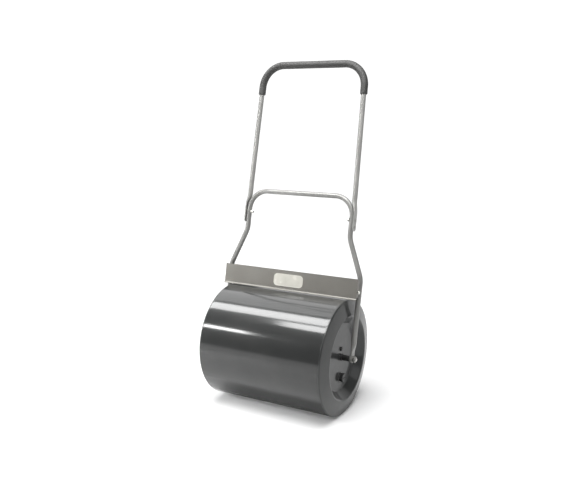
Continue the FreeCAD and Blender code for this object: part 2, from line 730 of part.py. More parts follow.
def hexagon(name, x0, length, flats, y=0, z=0):
    p = doc.addObject("Part::Prism", name)
    x0, length, flats, y, z = (Q.of(v) for v in (x0, length, flats, y, z))
    p.Polygon = 6
    corner = flats / math.sqrt(3.0)
    p.Circumradius, p.Height = corner.n, length.n
    p.setExpression("Circumradius", corner.t)
    p.setExpression("Height", length.t)
    p.Placement = FreeCAD.Placement(V(x0.n, y.n, z.n), ALONG_X)
    p.setExpression(".Placement.Base.x", x0.t)
    p.setExpression(".Placement.Base.y", y.t)
    p.setExpression(".Placement.Base.z", z.t)
    return p


def both(kind, name, a, b):
    f = doc.addObject("Part::" + kind, name)
    f.Base, f.Tool = a, b
    return f


def hex_solid(name, x0, length, flats, y, z):
    """Hexagon with its corners turned off at both faces."""
    blank = cylinder(name + "_blank", x0, length, Q.of(flats) / 2 * 1.13, y, z)
    doc.recompute()
    turned = doc.addObject("Part::Chamfer", name + "_turned")
    turned.Base = blank
    cut = min(Q.of(flats).n * 0.09, Q.of(length).n * 0.3)
    turned.Edges = [(i + 1, cut, cut * 0.8) for i, e in enumerate(blank.Shape.Edges)
                    if isinstance(e.Curve, Part.Circle)]
    return both("Common", name + "_hex", hexagon(name + "_prism", x0, length, flats, y, z), turned)


def nut(name, x0, length, flats, bore, y=0, z=0):
    return both("Cut", name, hex_solid(name, x0, length, flats, y, z),
                cylinder(name + "_bore", Q.of(x0) - 1, Q.of(length) + 2, bore, y, z))


def bolt(name, x_head, head, flats, x_tip, radius, y=0, z=0):
    """Hexagon head between x_head and the shank, which runs to x_tip."""
    x_head, head, x_tip = Q.of(x_head), Q.of(head), Q.of(x_tip)
    if x_tip.n < x_head.n:
        body_hex = hex_solid(name, x_head, head, flats, y, z)
        shank = cylinder(name + "_shank", x_tip, x_head - x_tip + 1, radius, y, z)
    else:
        body_hex = hex_solid(name, x_head - head, head, flats, y, z)
        shank = cylinder(name + "_shank", x_head - 1, x_tip - x_head + 1, radius, y, z)
    return both("Fuse", name, body_hex, shank)


def washer(name, x0, length, radius, bore, y=0, z=0):
    return both("Cut", name, cylinder(name + "_disc", x0, length, radius, y, z),
                cylinder(name + "_bore", Q.of(x0) - 1, Q.of(length) + 2, bore, y, z))


def group(name, members, leaning):
    c = doc.addObject("Part::Compound", name + "_set")
    c.Links = members
    stand(c, leaning)
    return node(name, c)


eye_in = d("leg_side") - d("eye_thick") / 2
eye_out = d("leg_side") + d("eye_thick") / 2
clear = d("axle_radius") + 0.05
group("spacer_sleeves", [
    washer("sleeve_right", d("sleeve_start"), d("sleeve_end") - d("sleeve_start"), d("sleeve_radius"), clear),
    washer("sleeve_left", -d("sleeve_end"), d("sleeve_end") - d("sleeve_start"), d("sleeve_radius"), clear),
], False)
group("jam_nuts", [
    nut("jam_right", eye_in - d("jam_thick"), d("jam_thick"), d("nut_flats"), d("axle_radius")),
    nut("jam_left", -eye_in, d("jam_thick"), d("nut_flats"), d("axle_radius")),
], True)
group("axle_washers", [
    washer("washer_right", eye_out, d("washer_thick"), d("washer_radius"), clear),
    washer("washer_left", -eye_out - d("washer_thick"), d("washer_thick"), d("washer_radius"), clear),
], True)
group("axle_nuts", [
    nut("nut_right", eye_out + d("washer_thick"), d("nut_thick"), d("nut_flats"), d("axle_radius")),
    nut("nut_left", -eye_out - d("washer_thick") - d("nut_thick"), d("nut_thick"), d("nut_flats"), d("axle_radius")),
], True)

def domed(name, x_face, height, radius, x_tip, shank, y=0, z=0):
    """Low domed head on the face at x_face, with its shank running to x_tip."""
    x_face, x_tip = Q.of(x_face), Q.of(x_tip)
    outward = x_face.n > x_tip.n
    blank = cylinder(name + "_blank", x_face if outward else x_face - height, height, radius, y, z)
    doc.recompute()
    rim = x_face.n + (Q.of(height).n if outward else -Q.of(height).n)
    head = doc.addObject("Part::Fillet", name + "_dome")
    head.Base = blank
    head.Edges = [(i + 1, 2.2, 2.2) for i, e in enumerate(blank.Shape.Edges)
                  if isinstance(e.Curve, Part.Circle) and abs(e.CenterOfMass.x - rim) < 0.01]
    if outward:
        stem = cylinder(name + "_shank", x_tip, x_face - x_tip + 1, shank, y, z)
    else:
        stem = cylinder(name + "_shank", x_face - 1, x_tip - x_face + 1, shank, y, z)
    return both("Fuse", name, head, stem)


# Handle joint: on each side a through bolt with its nut inside the neck, and
# below it a short screw that holds in the outer wall of the neck.
outside = neck_out + d("flat_thick")
inside = d("neck_side") - d("pipe_radius")
disc_thick = 1.2
bolts, screws, nuts, discs = [], [], [], []
for tag, s in (("right", 1), ("left", -1)):
    high, low = d("joint_high"), d("joint_low")
    tip = inside - disc_thick - d("small_nut") - 2
    face = outside if s > 0 else -outside
    bolts.append(domed("joint_bolt_" + tag, face, d("dome_high"), d("dome_radius"),
                       tip if s > 0 else -tip, d("bolt_radius"), 0, high))
    screws.append(domed("joint_screw_" + tag, face, d("dome_high"), d("dome_radius"),
                        d("neck_side") + 1 if s > 0 else -(d("neck_side") + 1), d("bolt_radius"), 0, low))
    discs.append(washer("disc_" + tag, inside - disc_thick if s > 0 else -inside, disc_thick, 6.0,
                        d("bolt_radius") + 0.05, 0, high))
    nuts.append(nut("joint_nut_" + tag, inside - disc_thick - d("small_nut") if s > 0 else disc_thick - inside,
                    d("small_nut"), d("bolt_flats"), d("bolt_radius"), 0, high))
group("handle_bolts", bolts, True)
group("handle_screws", screws, True)
group("handle_nuts", nuts, True)
group("handle_washers", discs, True)

# Scraper fixing: a welded lug on each leg, a bolt from outside, a nut inside.
lug_out = d("plate_half") - d("plate_wall")
lug_in = lug_out - d("lug_thick")
lugs = []
for side_name, s in (("right", 1), ("left", -1)):
    blank = doc.addObject("Part::Box", "lug_blank_" + side_name)
    sizes = (d("lug_thick"), d("fix_front") + 7 - 2.0, Q.of(26.0))
    for prop, size in zip(("Length", "Width", "Height"), sizes):
        setattr(blank, prop, size.n)
        blank.setExpression(prop, size.t)
    x0 = lug_in if s > 0 else -lug_out
    y0, z0 = -d("fix_front") - 7, d("fix_height") - 13
    blank.Placement = FreeCAD.Placement(V(x0.n, y0.n, z0.n), FreeCAD.Rotation())
    for axis, size in zip("xyz", (x0, y0, z0)):
        blank.setExpression(".Placement.Base." + axis, size.t)
    doc.recompute()
    soft = doc.addObject("Part::Fillet", "lug_soft_" + side_name)
    soft.Base = blank
    soft.Edges = [(i + 1, 5.0, 5.0) for i, e in enumerate(blank.Shape.Edges)
                  if abs(e.tangentAt(e.FirstParameter).x) > 0.9 and e.CenterOfMass.y < y0.n + 0.1]
    drilled = both("Cut", "lug_drilled_" + side_name, soft, cylinder(
        "lug_hole_" + side_name, x0 - 1, d("lug_thick") + 2, d("bolt_hole"), -d("fix_front"), d("fix_height")))
    leg = doc.addObject("Part::Cylinder", "leg_round_" + side_name)
    leg.Radius = d("pipe_radius").n
    leg.setExpression("Radius", d("pipe_radius").t)
    leg.Height = 60
    lx, lz = (d("leg_side") if s > 0 else -d("leg_side")), d("fix_height") - 30
    leg.Placement = FreeCAD.Placement(V(lx.n, 0, lz.n), FreeCAD.Rotation())
    leg.setExpression(".Placement.Base.x", lx.t)
    leg.setExpression(".Placement.Base.z", lz.t)
    lugs.append(both("Cut", "lug_" + side_name, drilled, leg))
group("scraper_lugs", lugs, True)

yy, zz = -d("fix_front"), d("fix_height")
group("scraper_bolts", [
    bolt("fix_bolt_right", d("plate_half"), d("head_thick"), d("bolt_flats"),
         lug_in - d("small_nut") - 2, d("bolt_radius"), yy, zz),
    bolt("fix_bolt_left", -d("plate_half"), d("head_thick"), d("bolt_flats"),
         d("small_nut") + 2 - lug_in, d("bolt_radius"), yy, zz),
], True)
group("scraper_nuts", [
    nut("fix_nut_right", lug_in - d("small_nut"), d("small_nut"), d("bolt_flats"), d("bolt_radius"), yy, zz),
    nut("fix_nut_left", -lug_in, d("small_nut"), d("bolt_flats"), d("bolt_radius"), yy, zz),
], True)

# ------------------------------------------------------------ check, write
doc.recompute()
for obj in doc.Objects:
    bad = [word for word in obj.State if word in ("Invalid", "Error")]
    if bad:
        raise RuntimeError("%s is %s" % (obj.Name, bad))
SOLIDS = {"spacer_sleeves": 2, "jam_nuts": 2, "axle_washers": 2, "axle_nuts": 2,
          "handle_bolts": 2, "handle_screws": 2, "handle_nuts": 2, "handle_washers": 2,
          "scraper_lugs": 2, "scraper_bolts": 2, "scraper_nuts": 2}
for name, obj in sorted(NODES.items()):
    shape = obj.Shape
    if shape.isNull() or not shape.isValid():
        raise RuntimeError(name + " has no valid shape")
    if len(shape.Solids) != SOLIDS.get(name, 1):
        raise RuntimeError("%s has %d solids" % (name, len(shape.Solids)))
    box = shape.BoundBox
    print("%-16s %9.1f mm3  x %7.1f %7.1f  y %7.1f %7.1f  z %7.1f %7.1f" % (
        name, shape.Volume, box.XMin, box.XMax, box.YMin, box.YMax, box.ZMin, box.ZMax))
for name, obj in NODES.items():
    obj.Shape.exportStep("parts/%s.step" % name)
print(len(NODES), "pieces written")
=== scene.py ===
import json
import math
import random

import bmesh
import bpy
from mathutils import Matrix, Vector


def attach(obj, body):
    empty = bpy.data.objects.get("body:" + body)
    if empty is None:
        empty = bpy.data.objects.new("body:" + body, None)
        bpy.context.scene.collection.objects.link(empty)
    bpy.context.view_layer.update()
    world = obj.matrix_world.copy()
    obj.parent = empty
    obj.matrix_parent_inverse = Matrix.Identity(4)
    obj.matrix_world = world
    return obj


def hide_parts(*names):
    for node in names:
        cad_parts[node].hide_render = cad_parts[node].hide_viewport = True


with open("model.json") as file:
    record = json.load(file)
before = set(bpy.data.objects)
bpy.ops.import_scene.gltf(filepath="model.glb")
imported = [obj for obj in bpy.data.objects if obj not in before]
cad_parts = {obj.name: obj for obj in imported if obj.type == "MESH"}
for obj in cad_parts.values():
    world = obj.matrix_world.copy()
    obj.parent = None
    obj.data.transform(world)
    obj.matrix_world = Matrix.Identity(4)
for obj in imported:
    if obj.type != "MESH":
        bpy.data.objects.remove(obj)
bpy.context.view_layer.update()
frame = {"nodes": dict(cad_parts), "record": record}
NODES = frame["nodes"]
scene = bpy.context.scene

# ---------------------------------------------------------------- camera
AZ, EL, DIST = math.radians(28.77), math.radians(12.97), 2.2274
TARGET = Vector((0.0, 0.0, 0.455))
BACK = Vector((math.sin(AZ) * math.cos(EL), -math.cos(AZ) * math.cos(EL), math.sin(EL)))
cam_data = bpy.data.cameras.new("camera")
cam = bpy.data.objects.new("camera", cam_data)
scene.collection.objects.link(cam)
cam.location = TARGET + BACK * DIST
cam.rotation_euler = BACK.to_track_quat("Z", "Y").to_euler()
cam_data.sensor_fit = "HORIZONTAL"
cam_data.sensor_width = 36.0
cam_data.lens = 701.32 * 36.0 / 583.0
cam_data.shift_x = (291.5 - 285.44) / 583.0
cam_data.shift_y = (266.24 - 238.5) / 583.0
cam_data.clip_end = 100.0
scene.camera = cam

scene.view_settings.view_transform = "Standard"
scene.view_settings.look = "None"
scene.view_settings.exposure = 0.0
scene.view_settings.gamma = 1.0


# ------------------------------------------------------------- node helpers
class Graph:
    """A small helper round one material's node tree."""

    def __init__(self, name):
        self.mat = bpy.data.materials.new(name)
        self.mat.use_nodes = True
        self.tree = self.mat.node_tree
        self.tree.nodes.clear()
        self.out = self.add("ShaderNodeOutputMaterial")
        self.bsdf = self.add("ShaderNodeBsdfPrincipled")
        self.link(self.bsdf.outputs[0], self.out.inputs["Surface"])
        self.coord = self.add("ShaderNodeTexCoord").outputs["Object"]

    def add(self, kind, **props):
        n = self.tree.nodes.new(kind)
        for k, v in props.items():
            setattr(n, k, v)
        return n

    def link(self, a, b):
        self.tree.links.new(a, b)

    def scaled(self, x, y, z):
        n = self.add("ShaderNodeMapping")
        n.inputs["Scale"].default_value = (x, y, z)
        self.link(self.coord, n.inputs["Vector"])
        return n.outputs[0]

    def noise(self, scale, detail=3.0, rough=0.5, vector=None, distortion=0.0):
        n = self.add("ShaderNodeTexNoise")
        n.inputs["Scale"].default_value = scale
        n.inputs["Detail"].default_value = detail
        n.inputs["Roughness"].default_value = rough
        n.inputs["Distortion"].default_value = distortion
        self.link(vector if vector is not None else self.coord, n.inputs["Vector"])
        return n.outputs["Fac"]

    def voronoi(self, scale, feature="F1", vector=None):
        n = self.add("ShaderNodeTexVoronoi", feature=feature)
        n.inputs["Scale"].default_value = scale
        self.link(vector if vector is not None else self.coord, n.inputs["Vector"])
        return n

    def ramp(self, fac, stops):
        n = self.add("ShaderNodeValToRGB")
        cr = n.color_ramp
        while len(cr.elements) > 1:
            cr.elements.remove(cr.elements[-1])
        for i, (pos, col) in enumerate(stops):
            e = cr.elements[0] if i == 0 else cr.elements.new(pos)
            e.position = pos
            if not hasattr(col, "__len__"):
                col = (col, col, col)
            e.color = (*col, 1.0)
        self.link(fac, n.inputs["Fac"])
        return n.outputs["Color"]

    def mix(self, fac, a, b, blend="MIX"):
        n = self.add("ShaderNodeMix", data_type="RGBA", blend_type=blend)
        for sock, val in ((n.inputs[0], fac), (n.inputs[6], a), (n.inputs[7], b)):
            if hasattr(val, "is_linked") or isinstance(val, bpy.types.NodeSocket):
                self.link(val, sock)
            elif hasattr(val, "__len__"):
                sock.default_value = (*val, 1.0)
            else:
                sock.default_value = val
        return n.outputs[2]

    def math(self, op, a, b=None):
        n = self.add("ShaderNodeMath", operation=op)
        for sock, val in ((n.inputs[0], a), (n.inputs[1], b)):
            if val is None:
                continue
            if isinstance(val, bpy.types.NodeSocket):
                self.link(val, sock)
            else:
                sock.default_value = val
        return n.outputs[0]

    def bump(self, height, strength, distance, normal=None):
        n = self.add("ShaderNodeBump")
        n.inputs["Strength"].default_value = strength
        n.inputs["Distance"].default_value = distance
        self.link(height, n.inputs["Height"])
        if normal is not None:
            self.link(normal, n.inputs["Normal"])
        return n.outputs[0]

    def set(self, **values):
        names = {"color": "Base Color", "metal": "Metallic", "rough": "Roughness",
                 "ior": "IOR", "coat": "Coat Weight", "coat_rough": "Coat Roughness",
                 "coat_ior": "Coat IOR", "sheen": "Sheen Weight",
                 "sheen_rough": "Sheen Roughness", "normal": "Normal",
                 "coat_normal": "Coat Normal", "spec": "Specular IOR Level",
                 "aniso": "Anisotropic"}
        for k, v in values.items():
            sock = self.bsdf.inputs[names[k]]
            if isinstance(v, bpy.types.NodeSocket):
                self.link(v, sock)
            elif hasattr(v, "__len__"):
                sock.default_value = (*v, 1.0)
            else:
                sock.default_value = v
        return self.mat


def drum_paint(name="drum_paint", gloss=1.0, tone=1.0):
    """Charcoal hammer-tone over rolled sheet under a clear gloss: a faint flake,
    orange peel, slow waves in the sheet, a little dust and a few rub marks."""
    g = Graph(name)
    cloud = g.noise(7.0, 4.0, 0.55)
    # tone above 1 lightens the base colour, which is painted light; the end_paint copy uses 1.7
    base = g.ramp(cloud, [(0.3, [c * tone for c in (0.021, 0.022, 0.022)]),
                          (0.72, [c * tone for c in (0.030, 0.031, 0.030)])])
    flake = g.voronoi(2600.0).outputs["Color"]
    sparkle = g.ramp(flake, [(0.5, 0.0), (0.95, 1.0)])
    base = g.mix(g.math("MULTIPLY", sparkle, 0.06), base, (0.14, 0.14, 0.14))
    rub = g.noise(1.0, 5.0, 0.7, vector=g.scaled(14.0, 70.0, 70.0))
    rubbed = g.ramp(rub, [(0.66, 0.0), (0.80, 1.0)])
    base = g.mix(g.math("MULTIPLY", rubbed, 0.3), base, (0.16, 0.16, 0.155))
    dust = g.noise(38.0, 5.0, 0.65)
    rough = g.mix(g.math("MULTIPLY", rubbed, 0.5), g.ramp(dust, [(0.35, 0.35), (0.75, 0.42)]), (0.50, 0.50, 0.50))
    peel = g.noise(240.0, 2.0, 0.5)
    wave = g.noise(1.0, 1.5, 0.4, vector=g.scaled(5.0, 9.0, 9.0))
    n1 = g.bump(wave, 0.2, 0.002)
    n2 = g.bump(peel, 0.06, 0.0002, n1)
    return g.set(color=base, metal=0.3, rough=rough, normal=n2, ior=1.45, spec=0.12, coat=gloss,
                 coat_rough=0.11, coat_ior=1.5, coat_normal=n2)


def tube_paint(name="tube_paint", tone=1.0):
    """Mid grey satin; `tone` scales it, the lower frame being a little darker: a shaded copy of the same paint, which
    is painted shade.
    """
    g = Graph(name)
    cloud = g.noise(14.0, 4.0, 0.6)
    low, high = [c * tone for c in (0.275, 0.273, 0.262)], [c * tone for c in (0.325, 0.323, 0.31)]
    base = g.ramp(cloud, [(0.3, low), (0.7, high)])
    fine = g.noise(420.0, 2.0, 0.6)
    base = g.mix(g.math("MULTIPLY", g.ramp(fine, [(0.6, 0.0), (0.85, 1.0)]), 0.35), base, (0.42 * tone, 0.42 * tone, 0.41 * tone))
    chips = g.noise(55.0, 6.0, 0.7)
    base = g.mix(g.math("MULTIPLY", g.ramp(chips, [(0.78, 0.0), (0.81, 1.0)]), 0.25), base, (0.14, 0.135, 0.13))
    n = g.bump(fine, 0.10, 0.0002)
    return g.set(color=base, metal=0.38, rough=g.ramp(cloud, [(0.3, 0.36), (0.7, 0.44)]),
                 normal=n, coat=0.25, coat_rough=0.22)


def plate_paint():
    g = Graph("plate_paint")
    cloud = g.noise(8.0, 4.0, 0.55)
    base = g.ramp(cloud, [(0.3, (0.145, 0.139, 0.124)), (0.7, (0.172, 0.166, 0.149))])
    fine = g.noise(520.0, 2.0, 0.6)
    base = g.mix(g.math("MULTIPLY", g.ramp(fine, [(0.55, 0.0), (0.85, 1.0)]), 0.3), base, (0.30, 0.29, 0.27))
    scuff = g.noise(1.0, 5.0, 0.7, vector=g.scaled(9.0, 60.0, 160.0))
    base = g.mix(g.math("MULTIPLY", g.ramp(scuff, [(0.70, 0.0), (0.76, 1.0)]), 0.4), base, (0.34, 0.33, 0.31))
    n = g.bump(fine, 0.08, 0.0002)
    return g.set(color=base, metal=0.35, rough=g.ramp(cloud, [(0.3, 0.36), (0.7, 0.46)]),
                 normal=n, coat=0.3, coat_rough=0.2)


def foam():
    g = Graph("foam")
    cells = g.voronoi(1500.0)
    cloud = g.noise(22.0, 4.0, 0.6)
    base = g.ramp(cloud, [(0.3, (0.021, 0.021, 0.020)), (0.7, (0.033, 0.033, 0.031))])
    base = g.mix(g.math("MULTIPLY", g.ramp(cells.outputs["Distance"], [(0.0, 1.0), (0.4, 0.0)]), 0.35),
                 base, (0.018, 0.018, 0.018))
    n = g.bump(cells.outputs["Distance"], 0.5, 0.0003)
    n = g.bump(g.noise(160.0, 3.0, 0.6), 0.25, 0.0005, n)
    return g.set(color=base, rough=g.ramp(cloud, [(0.3, 0.52), (0.7, 0.66)]), normal=n,
                 sheen=0.22, sheen_rough=0.35)


def zinc():
    g = Graph("zinc")
    cloud = g.noise(180.0, 4.0, 0.6)
    base = g.ramp(cloud, [(0.3, (0.58, 0.58, 0.55)), (0.7, (0.80, 0.79, 0.74))])
    n = g.bump(g.noise(700.0, 3.0, 0.6), 0.15, 0.0001)
    return g.set(color=base, metal=1.0, rough=g.ramp(cloud, [(0.3, 0.22), (0.7, 0.38)]), normal=n)


def dull_zinc():
    """Older, darker plating on the axle fastenings."""
    g = Graph("dull_zinc")
    cloud = g.noise(140.0, 4.0, 0.6)
    base = g.ramp(cloud, [(0.3, (0.20, 0.20, 0.19)), (0.7, (0.36, 0.355, 0.34))])
    n = g.bump(g.noise(600.0, 3.0, 0.6), 0.2, 0.0001)
    return g.set(color=base, metal=1.0, rough=g.ramp(cloud, [(0.3, 0.34), (0.7, 0.5)]), normal=n)


def axle_steel():
    g = Graph("axle_steel")
    cloud = g.noise(90.0, 4.0, 0.6)
    base = g.ramp(cloud, [(0.3, (0.36, 0.35, 0.34)), (0.7, (0.52, 0.51, 0.49))])
    ringed = g.noise(1.0, 3.0, 0.6, vector=g.scaled(1400.0, 30.0, 30.0))
    n = g.bump(ringed, 0.15, 0.0001)
    return g.set(color=base, metal=1.0, rough=g.ramp(cloud, [(0.3, 0.28), (0.7, 0.45)]), normal=n)


def tank_steel():
    g = Graph("tank_steel")
    cloud = g.noise(30.0, 4.0, 0.6)
    base = g.ramp(cloud, [(0.3, (0.030, 0.031, 0.033)), (0.7, (0.045, 0.046, 0.048))])
    n = g.bump(g.noise(300.0, 2.0, 0.5), 0.08, 0.0002)
    return g.set(color=base, metal=0.5, rough=g.ramp(cloud, [(0.3, 0.32), (0.7, 0.45)]),
                 normal=n, coat=0.9, coat_rough=0.08, coat_ior=1.6)


def black_nylon():
    g = Graph("black_nylon")
    cloud = g.noise(60.0, 4.0, 0.6)
    base = g.ramp(cloud, [(0.3, (0.010, 0.010, 0.010)), (0.7, (0.020, 0.020, 0.020))])
    n = g.bump(g.noise(900.0, 2.0, 0.6), 0.25, 0.0001)
    return g.set(color=base, rough=g.ramp(cloud, [(0.3, 0.38), (0.7, 0.52)]), normal=n)


def seal_rubber():
    g = Graph("seal_rubber")
    cloud = g.noise(80.0, 4.0, 0.6)
    base = g.ramp(cloud, [(0.3, (0.016, 0.016, 0.016)), (0.7, (0.030, 0.030, 0.030))])
    n = g.bump(g.noise(1200.0, 2.0, 0.6), 0.2, 0.0001)
    return g.set(color=base, rough=g.ramp(cloud, [(0.3, 0.55), (0.7, 0.7)]), normal=n)


def badge_plastic():
    g = Graph("badge_plastic")
    cloud = g.noise(30.0, 3.0, 0.5)
    base = g.ramp(cloud, [(0.3, (0.44, 0.43, 0.385)), (0.7, (0.52, 0.51, 0.46))])
    n = g.bump(g.noise(500.0, 2.0, 0.5), 0.05, 0.0001)
    return g.set(color=base, rough=g.ramp(cloud, [(0.3, 0.2), (0.7, 0.3)]), normal=n, coat=0.6, coat_rough=0.05)


MATERIALS = {
    "drum_paint": drum_paint(), "tube_paint": tube_paint(), "plate_paint": plate_paint(),
    "foam": foam(), "zinc": zinc(), "axle_steel": axle_steel(), "tank_steel": tank_steel(),
    "black_nylon": black_nylon(), "seal_rubber": seal_rubber(), "badge_plastic": badge_plastic(),
    # end_paint: less gloss, the ends' own finish, and a base 1.7 times lighter, which is painted light on the dished
    # ends
    "dull_zinc": dull_zinc(), "end_paint": drum_paint("end_paint", 0.50, 1.7),
    # frame_paint: the tube paint at 0.72 tone, painted shade on the lower frame tube
    "frame_paint": tube_paint("frame_paint", 0.72),
}
for entry in frame["record"]["subparts"]:
    obj = NODES[entry["node"]]
    obj.data.materials.clear()
    obj.data.materials.append(MATERIALS[entry["material_slot"]])

# ---------------------------------------------------------------- geometry
# All sizes below are millimetres in the object's own frame. The bent tubes, the
# scraper and their fastenings are drawn in the plane of the frame (x across,
# y square to the plane, h up along the legs from the axle) and lean back with it.
LEAN = math.radians(12.0)
AXLE = 185.0


def leaning(x, y, h):
    return Vector((x, y * math.cos(LEAN) + h * math.sin(LEAN),
                   AXLE - y * math.sin(LEAN) + h * math.cos(LEAN))) * 0.001


def upright(x, y, z):
    return Vector((x, y, AXLE + z)) * 0.001


def sharpen(bm, degrees):
    limit = math.radians(degrees)
    for f in bm.faces:
        f.smooth = True
    for e in bm.edges:
        e.smooth = not (len(e.link_faces) == 2 and e.calc_face_angle(0.0) > limit)


def piece(name, bm, body, slot, replaces=(), sharp=32.0, material=None):
    """Make an object of a bmesh, give it its finish and its body."""
    bmesh.ops.recalc_face_normals(bm, faces=bm.faces)
    sharpen(bm, sharp)
    me = bpy.data.meshes.new(name)
    bm.to_mesh(me)
    bm.free()
    ob = bpy.data.objects.new(name, me)
    scene.collection.objects.link(ob)
    me.materials.append(MATERIALS[material or slot])
    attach(ob, body)
    if replaces:
        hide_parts(*replaces)
    return ob


def tube_faces(bm, rings, closed=False):
    """Join rings of vertices that all have the same count."""
    n = len(rings[0])
    pairs = list(zip(rings, rings[1:]))
    if closed:
        pairs.append((rings[-1], rings[0]))
    for a, b in pairs:
        for i in range(n):
            j = (i + 1) % n
            bm.faces.new((a[i], a[j], b[j], b[i]))


def bent(points, radii, step=3.0, turn=math.radians(3.0)):
    """Straight runs and tangent arcs in a plane: a list of (place, direction)."""
    out = []
    pts = [Vector(p) for p in points]
    place = pts[0]
    for i in range(1, len(pts)):
        p = pts[i]
        r = radii[i - 1] if i < len(pts) - 1 else None
        d0 = (p - place).normalized()
        if r is None:
            end = p
        else:
            d1 = (pts[i + 1] - p).normalized()
            angle = d0.angle(d1)
            cut = r * math.tan(angle / 2)
            end = p - d0 * cut
        run = (end - place).length
        count = max(1, int(run / step))
        for k in range(count):
            out.append((place + d0 * (run * k / count), d0))
        if r is None:
            out.append((end, d0))
        else:
            side = 1.0 if d0.x * d1.y - d0.y * d1.x > 0 else -1.0
            centre = end + Vector((-d0.y, d0.x)) * (side * r)
            count = max(2, int(angle / turn))
            for k in range(count):
                a = side * angle * k / count
                rel = end - centre
                rot = Matrix.Rotation(a, 2)
                out.append((centre + rot @ rel, (rot @ d0).normalized()))
            place = p + d1 * cut
    return out


def section(half_x, half_y, count):
    """Round to stadium outline: half_x across the plane, half_y square to it."""
    out = []
    for k in range(count):
        a = 2 * math.pi * k / count
        s = max(-1.0, min(1.0, 2.2 * math.sin(a)))
        out.append((half_x * math.cos(a), half_x * math.sin(a) + (half_y - half_x) * s))
    return out


def swept(bm, stations, count, cap=True):
    """stations: (place, direction, half_x, half_y) in the leaning plane."""
    rings = []
    for p, t, hx, hy in stations:
        normal = Vector((t.y, -t.x))
        ring = []
        for u, v in section(hx, hy, count):
            c = p + normal * u
            ring.append(bm.verts.new(leaning(c.x, v, c.y)))
        rings.append(ring)
    tube_faces(bm, rings)
    if cap:
        for ring in (rings[0], rings[-1]):
            bm.faces.new(ring)
    return rings


def ease(v):
    v = max(0.0, min(1.0, v))
    return v * v * (3 - 2 * v)


def arc_profile(points, radii, fine=8):
    """A profile with rounded corners: points (x, r) and a radius for each."""
    out = []
    n = len(points)
    for i in range(n):
        p = Vector(points[i])
        r = radii[i]
        if not r:
            out.append(tuple(p))
            continue
        a = (Vector(points[i - 1]) - p).normalized()
        b = (Vector(points[(i + 1) % n]) - p).normalized()
        half = a.angle(b) / 2
        cut = r / math.tan(half)
        centre = p + (a + b).normalized() * (r / math.sin(half))
        s, e = p + a * cut - centre, p + b * cut - centre
        a0, a1 = math.atan2(s.y, s.x), math.atan2(e.y, e.x)
        while a1 - a0 > math.pi:
            a1 -= 2 * math.pi
        while a1 - a0 < -math.pi:
            a1 += 2 * math.pi
        for k in range(fine + 1):
            ang = a0 + (a1 - a0) * k / fine
            out.append((centre.x + r * math.cos(ang), centre.y + r * math.sin(ang)))
    return out


def lathe(bm, profile, count, centre=(0.0, 0.0), place=upright, closed=True, turn=None):
    """Turn a profile of (x, r) about an axis along x at centre (y, z)."""
    rings = []
    for x, r in profile:
        if r < 1e-6:
            rings.append([bm.verts.new(place(x, *centre))])
            continue
        ring = []
        for k in range(count):
            a = 2 * math.pi * k / count
            rr = turn(x, r, a) if turn else r
            ring.append(bm.verts.new(place(x, centre[0] + rr * math.cos(a), centre[1] + rr * math.sin(a))))
        rings.append(ring)
    pairs = list(zip(rings, rings[1:]))
    if closed:
        pairs.append((rings[-1], rings[0]))
    for a, b in pairs:
        if len(a) == 1 and len(b) == 1:
            continue
        for i in range(count):
            j = (i + 1) % count
            if len(a) == 1:
                bm.faces.new((a[0], b[j], b[i]))
            elif len(b) == 1:
                bm.faces.new((a[i], a[j], b[0]))
            else:
                bm.faces.new((a[i], a[j], b[j], b[i]))
    return rings


def carve(ob, cutters):
    """Cut closed meshes out of a piece, and leave no modifier on it."""
    for me in cutters:
        tool = bpy.data.objects.new("tool", me)
        scene.collection.objects.link(tool)
        mod = ob.modifiers.new("cut", "BOOLEAN")
        mod.operation = "DIFFERENCE"
        mod.solver = "EXACT"
        mod.object = tool
        deps = bpy.context.evaluated_depsgraph_get()
        new = bpy.data.meshes.new_from_object(ob.evaluated_get(deps))
        ob.modifiers.clear()
        old = ob.data
        ob.data = new
        new.name = old.name
        bpy.data.objects.remove(tool)
    bm = bmesh.new()
    bm.from_mesh(ob.data)
    # the cut leaves slivers where its edge runs close to an old one
    bmesh.ops.remove_doubles(bm, verts=bm.verts[:], dist=2e-6)
    bmesh.ops.triangulate(bm, faces=[f for f in bm.faces if len(f.verts) > 4])
    bmesh.ops.dissolve_degenerate(bm, edges=bm.edges[:], dist=2e-6)
    loose = [v for v in bm.verts if not v.link_faces]
    bmesh.ops.delete(bm, geom=loose, context="VERTS")
    sharpen(bm, 32.0)
    bm.to_mesh(ob.data)
    bm.free()


def rod(x0, x1, radius, y=0.0, z=0.0, place=upright, count=48):
    bm = bmesh.new()
    lathe(bm, [(x0, 0.0), (x0, radius), (x1, radius), (x1, 0.0)], count, (y, z), place, closed=False)
    bmesh.ops.recalc_face_normals(bm, faces=bm.faces)
    me = bpy.data.meshes.new("cutter")
    bm.to_mesh(me)
    bm.free()
    return me


# ------------------------------------------------------------- bent tubes
LEG, NECK, CROSS = 236.5, 186.5, 501.0


def leg_section(p):
    """The tube is round, and pressed flat round the axle."""
    if abs(p.x) > LEG - 1.0 and p.y < 48.0:
        k = ease((p.y - 22.0) / 26.0)
        hx, hy = 2.0 + 6.0 * k, 12.0 - 4.0 * k
        if p.y < 0.0:
            hy = max(2.0, math.sqrt(max(0.0, 144.0 - p.y * p.y)))
            if p.y < -11.2:
                hx = 1.2
        return hx, hy
    return 8.0, 8.0


bm = bmesh.new()
route = bent([(-LEG, -11.9), (-LEG, 250.0), (-NECK, 372.0), (-NECK, CROSS), (NECK, CROSS),
              (NECK, 372.0), (LEG, 250.0), (LEG, -11.9)], [75, 75, 62, 62, 75, 75], step=2.0)
swept(bm, [(p, t, *leg_section(p)) for p, t in route], 56)
